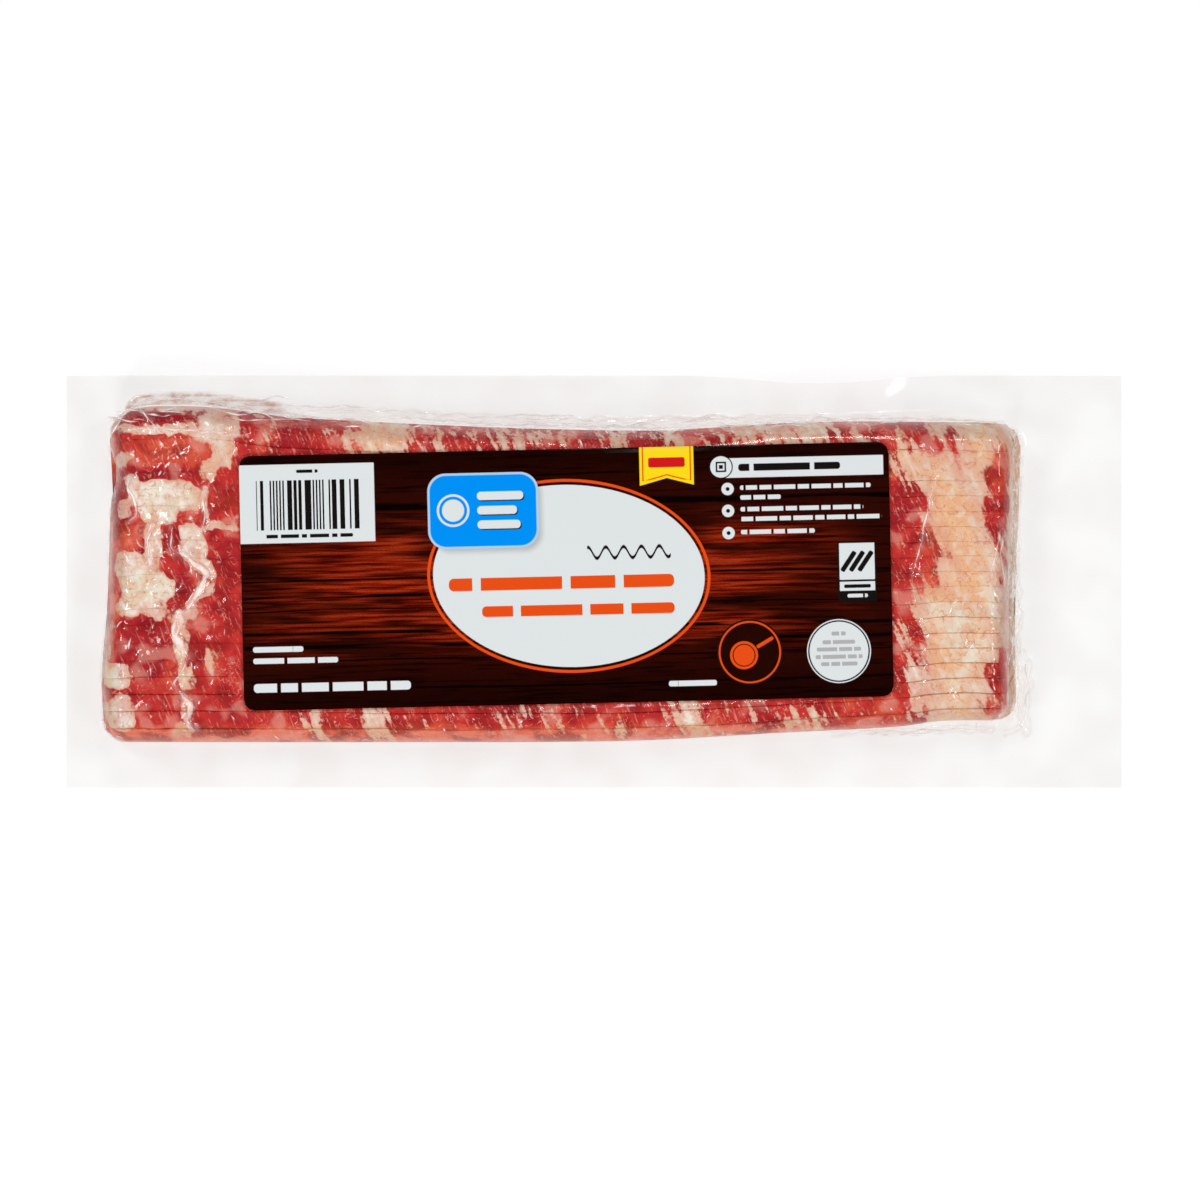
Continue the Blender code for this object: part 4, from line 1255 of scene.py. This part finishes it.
def wood_print(tree, place):
    """Printed planks: dark at the label's edges, glowing red towards its middle."""
    parts = put(tree, "SeparateXYZ", {0: place}).outputs
    long_waves = put(tree, "Mapping", {"Vector": place, "Scale": (0.012, 0.05, 0)}).outputs[0]
    bend = work_out(tree, "MULTIPLY_ADD", flat_spots(tree, long_waves, 1, 1), 2.4, -1.2)
    up = work_out(tree, "ADD", parts["Y"], bend)
    fine = put(tree, "Mapping", {"Vector": place, "Scale": (0.05, 1.1, 0)}).outputs[0]
    broad = put(tree, "Mapping", {"Vector": place, "Scale": (0.022, 0.16, 0)}).outputs[0]
    fine_grain, broad_grain = flat_spots(tree, fine, 1, 4), flat_spots(tree, broad, 1, 2)
    speckle = flat_spots(tree, place, 2.2, 1)
    breaks = put(tree, "Mapping", {"Vector": place, "Scale": (0.021, 0.31, 0)}).outputs[0]
    shows = rise(tree, flat_spots(tree, breaks, 1, 1), 0.36, 0.46)
    high = rise(tree, work_out(tree, "ABSOLUTE", work_out(tree, "ADD", up, 2.0)), 25.0, 9.0)
    ends = rise(tree, work_out(tree, "ABSOLUTE", work_out(tree, "ADD", parts["X"], 6.0)), 104.0, 52.0)
    lit = work_out(tree, "MULTIPLY", high, ends)
    glow = work_out(tree, "MULTIPLY", lit, rise(tree, broad_grain, 0.3, 0.62))
    colour = over(tree, work_out(tree, "MULTIPLY_ADD", glow, 0.92, 0.05), WOOD_DARK, WOOD_RED)
    bright = work_out(tree, "MULTIPLY", glow, rise(tree, fine_grain, 0.45, 0.68, 0.0, 0.75))
    colour = over(tree, bright, colour, WOOD_ORANGE)
    colour = over(tree, rise(tree, fine_grain, 0.5, 0.32, 0.0, 0.75), colour, WOOD_BLACK)
    colour = over(tree, rise(tree, speckle, 0.5, 0.36, 0.0, 0.25), colour, WOOD_BLACK)
    edges = rise(tree, work_out(tree, "ABSOLUTE", up), 24.0, 38.0, 0.0, 0.6)
    colour = over(tree, edges, colour, WOOD_BLACK)
    for level, half in PLANK_JOINTS:
        off = work_out(tree, "ABSOLUTE", work_out(tree, "SUBTRACT", up, level))
        off = work_out(tree, "MULTIPLY_ADD", fine_grain, -half, off)
        line = rise(tree, off, half, half * 0.2 - 0.1)
        colour = over(tree, work_out(tree, "MULTIPLY", line, shows), colour, WOOD_BLACK)
    return colour


def print_bar_panel(press):
    """The white panel of black bars at the label's corner."""
    tree = press.tree
    press.box((-78.85, 24.15), (20.65, 12.05), INK_WHITE, corner=0.15)
    along = put(tree, "SeparateXYZ", {0: press.place}).outputs["X"]
    cell = work_out(tree, "FLOOR", work_out(tree, "MULTIPLY", along, 2.05))
    chance = put(tree, "TexWhiteNoise", {"W": cell}, noise_dimensions="1D").outputs["Value"]
    black = work_out(tree, "GREATER_THAN", chance, 0.46)
    field = press.box((-78.5, 23.7), (15.9, 7.6), None, corner=0.15)
    press.lay(work_out(tree, "MULTIPLY", field, black), INK_BLACK)
    press.bars(-82.0, -75.4, 34.0, 1.0, INK_BLACK, length=9.0)
    press.bars(-92.0, -65.0, 14.2, 1.1, INK_BLACK, length=4.6, gap=0.9, seed=0.3)


def print_oval_panel(press):
    """The white oval with its orange ring, a flourish and two lines of bars."""
    tree = press.tree
    press.disc((0.8, 0.1), (41.6, 27.9), INK_WHITE, turn=0.045, ring=(0.9, 0.9), ring_ink=INK_ORANGE)
    parts = put(tree, "SeparateXYZ", {0: press.place}).outputs
    wave = work_out(tree, "SINE", work_out(tree, "MULTIPLY", parts["X"], 1.15))
    off = work_out(tree, "SUBTRACT", parts["Y"], 7.0)
    off = work_out(tree, "SUBTRACT", off, work_out(tree, "MULTIPLY", wave, 1.7))
    stroke = rise(tree, work_out(tree, "ABSOLUTE", off), 0.75, 0.35)
    ends = press.box((19.4, 7.0), (12.8, 4.0), None)
    press.lay(work_out(tree, "MULTIPLY", stroke, ends), INK_BLACK)
    press.bars(-36.0, 33.0, -1.9, 3.9, INK_ORANGE, length=22.0, gap=2.6, seed=0.55)
    press.bars(-26.0, 33.0, -10.3, 3.3, INK_ORANGE, length=17.0, gap=2.4, seed=0.2)


def print_blue_badge(press):
    """The blue badge that laps over the oval: a disc in a ring beside three bars, on a soft shadow."""
    press.box((-23.8, 19.4), (16.6, 11.2), WOOD_DARK, corner=5.4, blur=1.6, share=0.4)
    press.box((-25.0, 20.7), (17.0, 11.6), INK_PALE_BLUE, corner=5.6)
    press.box((-25.0, 20.7), (16.3, 10.9), INK_BLUE, corner=5.0)
    press.disc((-34.2, 20.9), (3.4, 3.4), INK_WHITE, ring=(0.9, 0.7), ring_ink=INK_WHITE)
    left = -26.8
    for level, right in ((25.2, -12.6), (20.8, -14.6), (16.4, -13.6)):
        middle, half = (left + right) / 2, (right - left) / 2
        press.box((middle + 0.35, level - 0.35), (half, 1.3), INK_BLACK, corner=1.2)
        press.box((middle, level), (half, 1.3), INK_WHITE, corner=1.2)


def print_yellow_flag(press):
    """The yellow tag that hangs from the label's edge, with a notch cut in its foot."""
    tree = press.tree
    parts = put(tree, "SeparateXYZ", {0: press.place}).outputs
    off = work_out(tree, "ABSOLUTE", work_out(tree, "SUBTRACT", parts["X"], 31.45))
    notch = work_out(tree, "ADD", parts["Y"], work_out(tree, "MULTIPLY", off, 0.27))
    outside = press.box((31.45, 33.2), (8.3, 6.0), None, corner=0.15)
    press.lay(work_out(tree, "MULTIPLY", outside, rise(tree, notch, 29.3, 29.5)), INK_YELLOW)
    lines = press.box((31.45, 36.0), (7.5, 7.6), None, corner=0.15)
    inner = press.box((31.45, 36.0), (7.1, 7.2), None, corner=0.15)
    lines = work_out(tree, "SUBTRACT", lines, inner)
    lines = work_out(tree, "MULTIPLY", lines, rise(tree, notch, 30.5, 30.6))
    foot = work_out(tree, "ABSOLUTE", work_out(tree, "SUBTRACT", notch, 30.4))
    foot = work_out(tree, "MULTIPLY", rise(tree, foot, 0.3, 0.1), inner)
    press.lay(work_out(tree, "MAXIMUM", lines, foot), INK_ORANGE)
    press.box((31.45, 34.2), (5.6, 1.5), INK_RED, corner=0.6)


def print_list_panel(press):
    """At the right, a headed list of three discs with bars beside them."""
    press.box((73.6, 32.0), (24.2, 3.0), INK_WHITE, corner=0.2)
    press.disc((48.1, 32.4), (3.3, 3.3), INK_WHITE, ring=(0.0, 0.35), ring_ink=INK_BLACK)
    press.box((48.1, 32.4), (1.6, 1.6), INK_BLACK, corner=0.2)
    press.box((48.1, 32.4), (1.1, 1.1), INK_WHITE, corner=0.2)
    press.box((48.1, 32.4), (0.6, 0.6), INK_BLACK, corner=0.15)
    press.bars(53.4, 84.6, 32.1, 2.2, INK_BLACK, length=14.0, gap=1.3, seed=0.1)
    for level in (25.6, 18.9, 12.1):
        press.disc((50.0, level), (1.9, 1.9), INK_WHITE)
        press.disc((50.0, level), (0.6, 0.6), INK_BLACK)
    lines = ((25.9, 93.8), (22.9, 66.2), (19.3, 91.4), (16.3, 97.0), (12.3, 76.4))
    for number, (level, right) in enumerate(lines):
        press.bars(53.8, right, level, 1.35, INK_WHITE, length=5.2, gap=0.75, seed=0.37 * number)


def print_small_marks(press):
    """The square sign, the pan in its ring, the white disc and the small lines at the label's foot."""
    press.box((89.1, -0.6), (5.9, 9.1), INK_BLACK, corner=0.2)
    press.box((89.1, 2.6), (5.4, 5.6), INK_WHITE, corner=0.2)
    press.box((89.1, -5.0), (5.4, 1.4), INK_WHITE, corner=0.15)
    for step in (-2.6, 0.0, 2.6):
        press.box((89.1 + step, 2.6), (0.75, 3.6), INK_BLACK, corner=0.5, turn=0.6)
    press.bars(85.0, 93.2, -5.0, 1.1, INK_BLACK, length=9.0, gap=0.6, seed=0.2)
    press.bars(86.0, 92.2, -7.9, 1.1, INK_WHITE, length=9.0, gap=0.6, seed=0.5)
    press.disc((55.7, -24.5), (10.1, 10.1), INK_BLACK)
    press.disc((55.7, -24.5), (9.0, 9.0), WOOD_DARK, ring=(0.0, 0.55), ring_ink=INK_ORANGE)
    press.disc((53.9, -25.4), (4.3, 4.3), INK_ORANGE)
    press.disc((53.9, -25.4), (3.2, 3.2), INK_ORANGE, ring=(0.0, 0.3), ring_ink=INK_BLACK)
    press.box((60.4, -21.6), (2.9, 0.55), INK_ORANGE, corner=0.5, turn=-0.52)
    press.disc((83.0, -24.8), (10.0, 10.0), INK_BLACK)
    press.disc((83.0, -24.8), (9.0, 9.0), INK_WHITE, ring=(0.45, 0.35), ring_ink=INK_WHITE)
    for level, half in ((-19.4, 2.2), (-22.0, 5.0), (-24.2, 6.8), (-26.5, 7.2), (-28.7, 5.6)):
        press.bars(83.0 - half, 83.0 + half, level, 1.2, INK_GREY, length=6.0, gap=0.6, seed=level)
    press.bars(-96.4, -81.0, -20.4, 1.7, INK_WHITE, length=40.0, gap=0.1, seed=0.35)
    press.bars(-96.4, -70.4, -23.9, 1.7, INK_WHITE, length=11.0, gap=1.0, seed=0.6)
    press.bars(-96.4, -48.3, -32.2, 2.7, INK_WHITE, length=8.4, gap=1.2, seed=0.15)
    press.bars(30.7, 45.4, -33.6, 1.7, INK_WHITE, length=40.0, gap=0.1, seed=0.45)


def label_material():
    """The print, under a thin varnish that crinkles a little."""
    material = bpy.data.materials.new("printed_label")
    material.use_nodes = True
    tree = material.node_tree
    shader = tree.nodes["Principled BSDF"]
    laid = {
        "Vector": put(tree, "TexCoord").outputs["Object"],
        "Location": (LABEL_MIDDLE[0] * MM, LABEL_MIDDLE[1] * MM, 0),
        "Rotation": (0, 0, LABEL_TURN),
        "Scale": (MM, MM, MM),
    }
    place = put(tree, "Mapping", laid, vector_type="TEXTURE").outputs[0]
    press = Press(tree, place)
    press.colour = wood_print(tree, place)
    print_bar_panel(press)
    print_oval_panel(press)
    print_blue_badge(press)
    print_yellow_flag(press)
    print_list_panel(press)
    print_small_marks(press)
    tree.links.new(press.colour, shader.inputs["Base Color"])
    crinkle = spotted(tree, place, 0.35, 3)
    tree.links.new(rise(tree, crinkle, 0.3, 0.7, 0.2, 0.27), shader.inputs["Roughness"])
    bump = put(tree, "Bump", {"Strength": 0.15, "Distance": 0.0003, "Height": crinkle})
    tree.links.new(bump.outputs["Normal"], shader.inputs["Normal"])
    shader.inputs["Specular IOR Level"].default_value = 0.06
    return material


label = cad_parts["label"]
for slot in label.material_slots:
    slot.material = label_material()
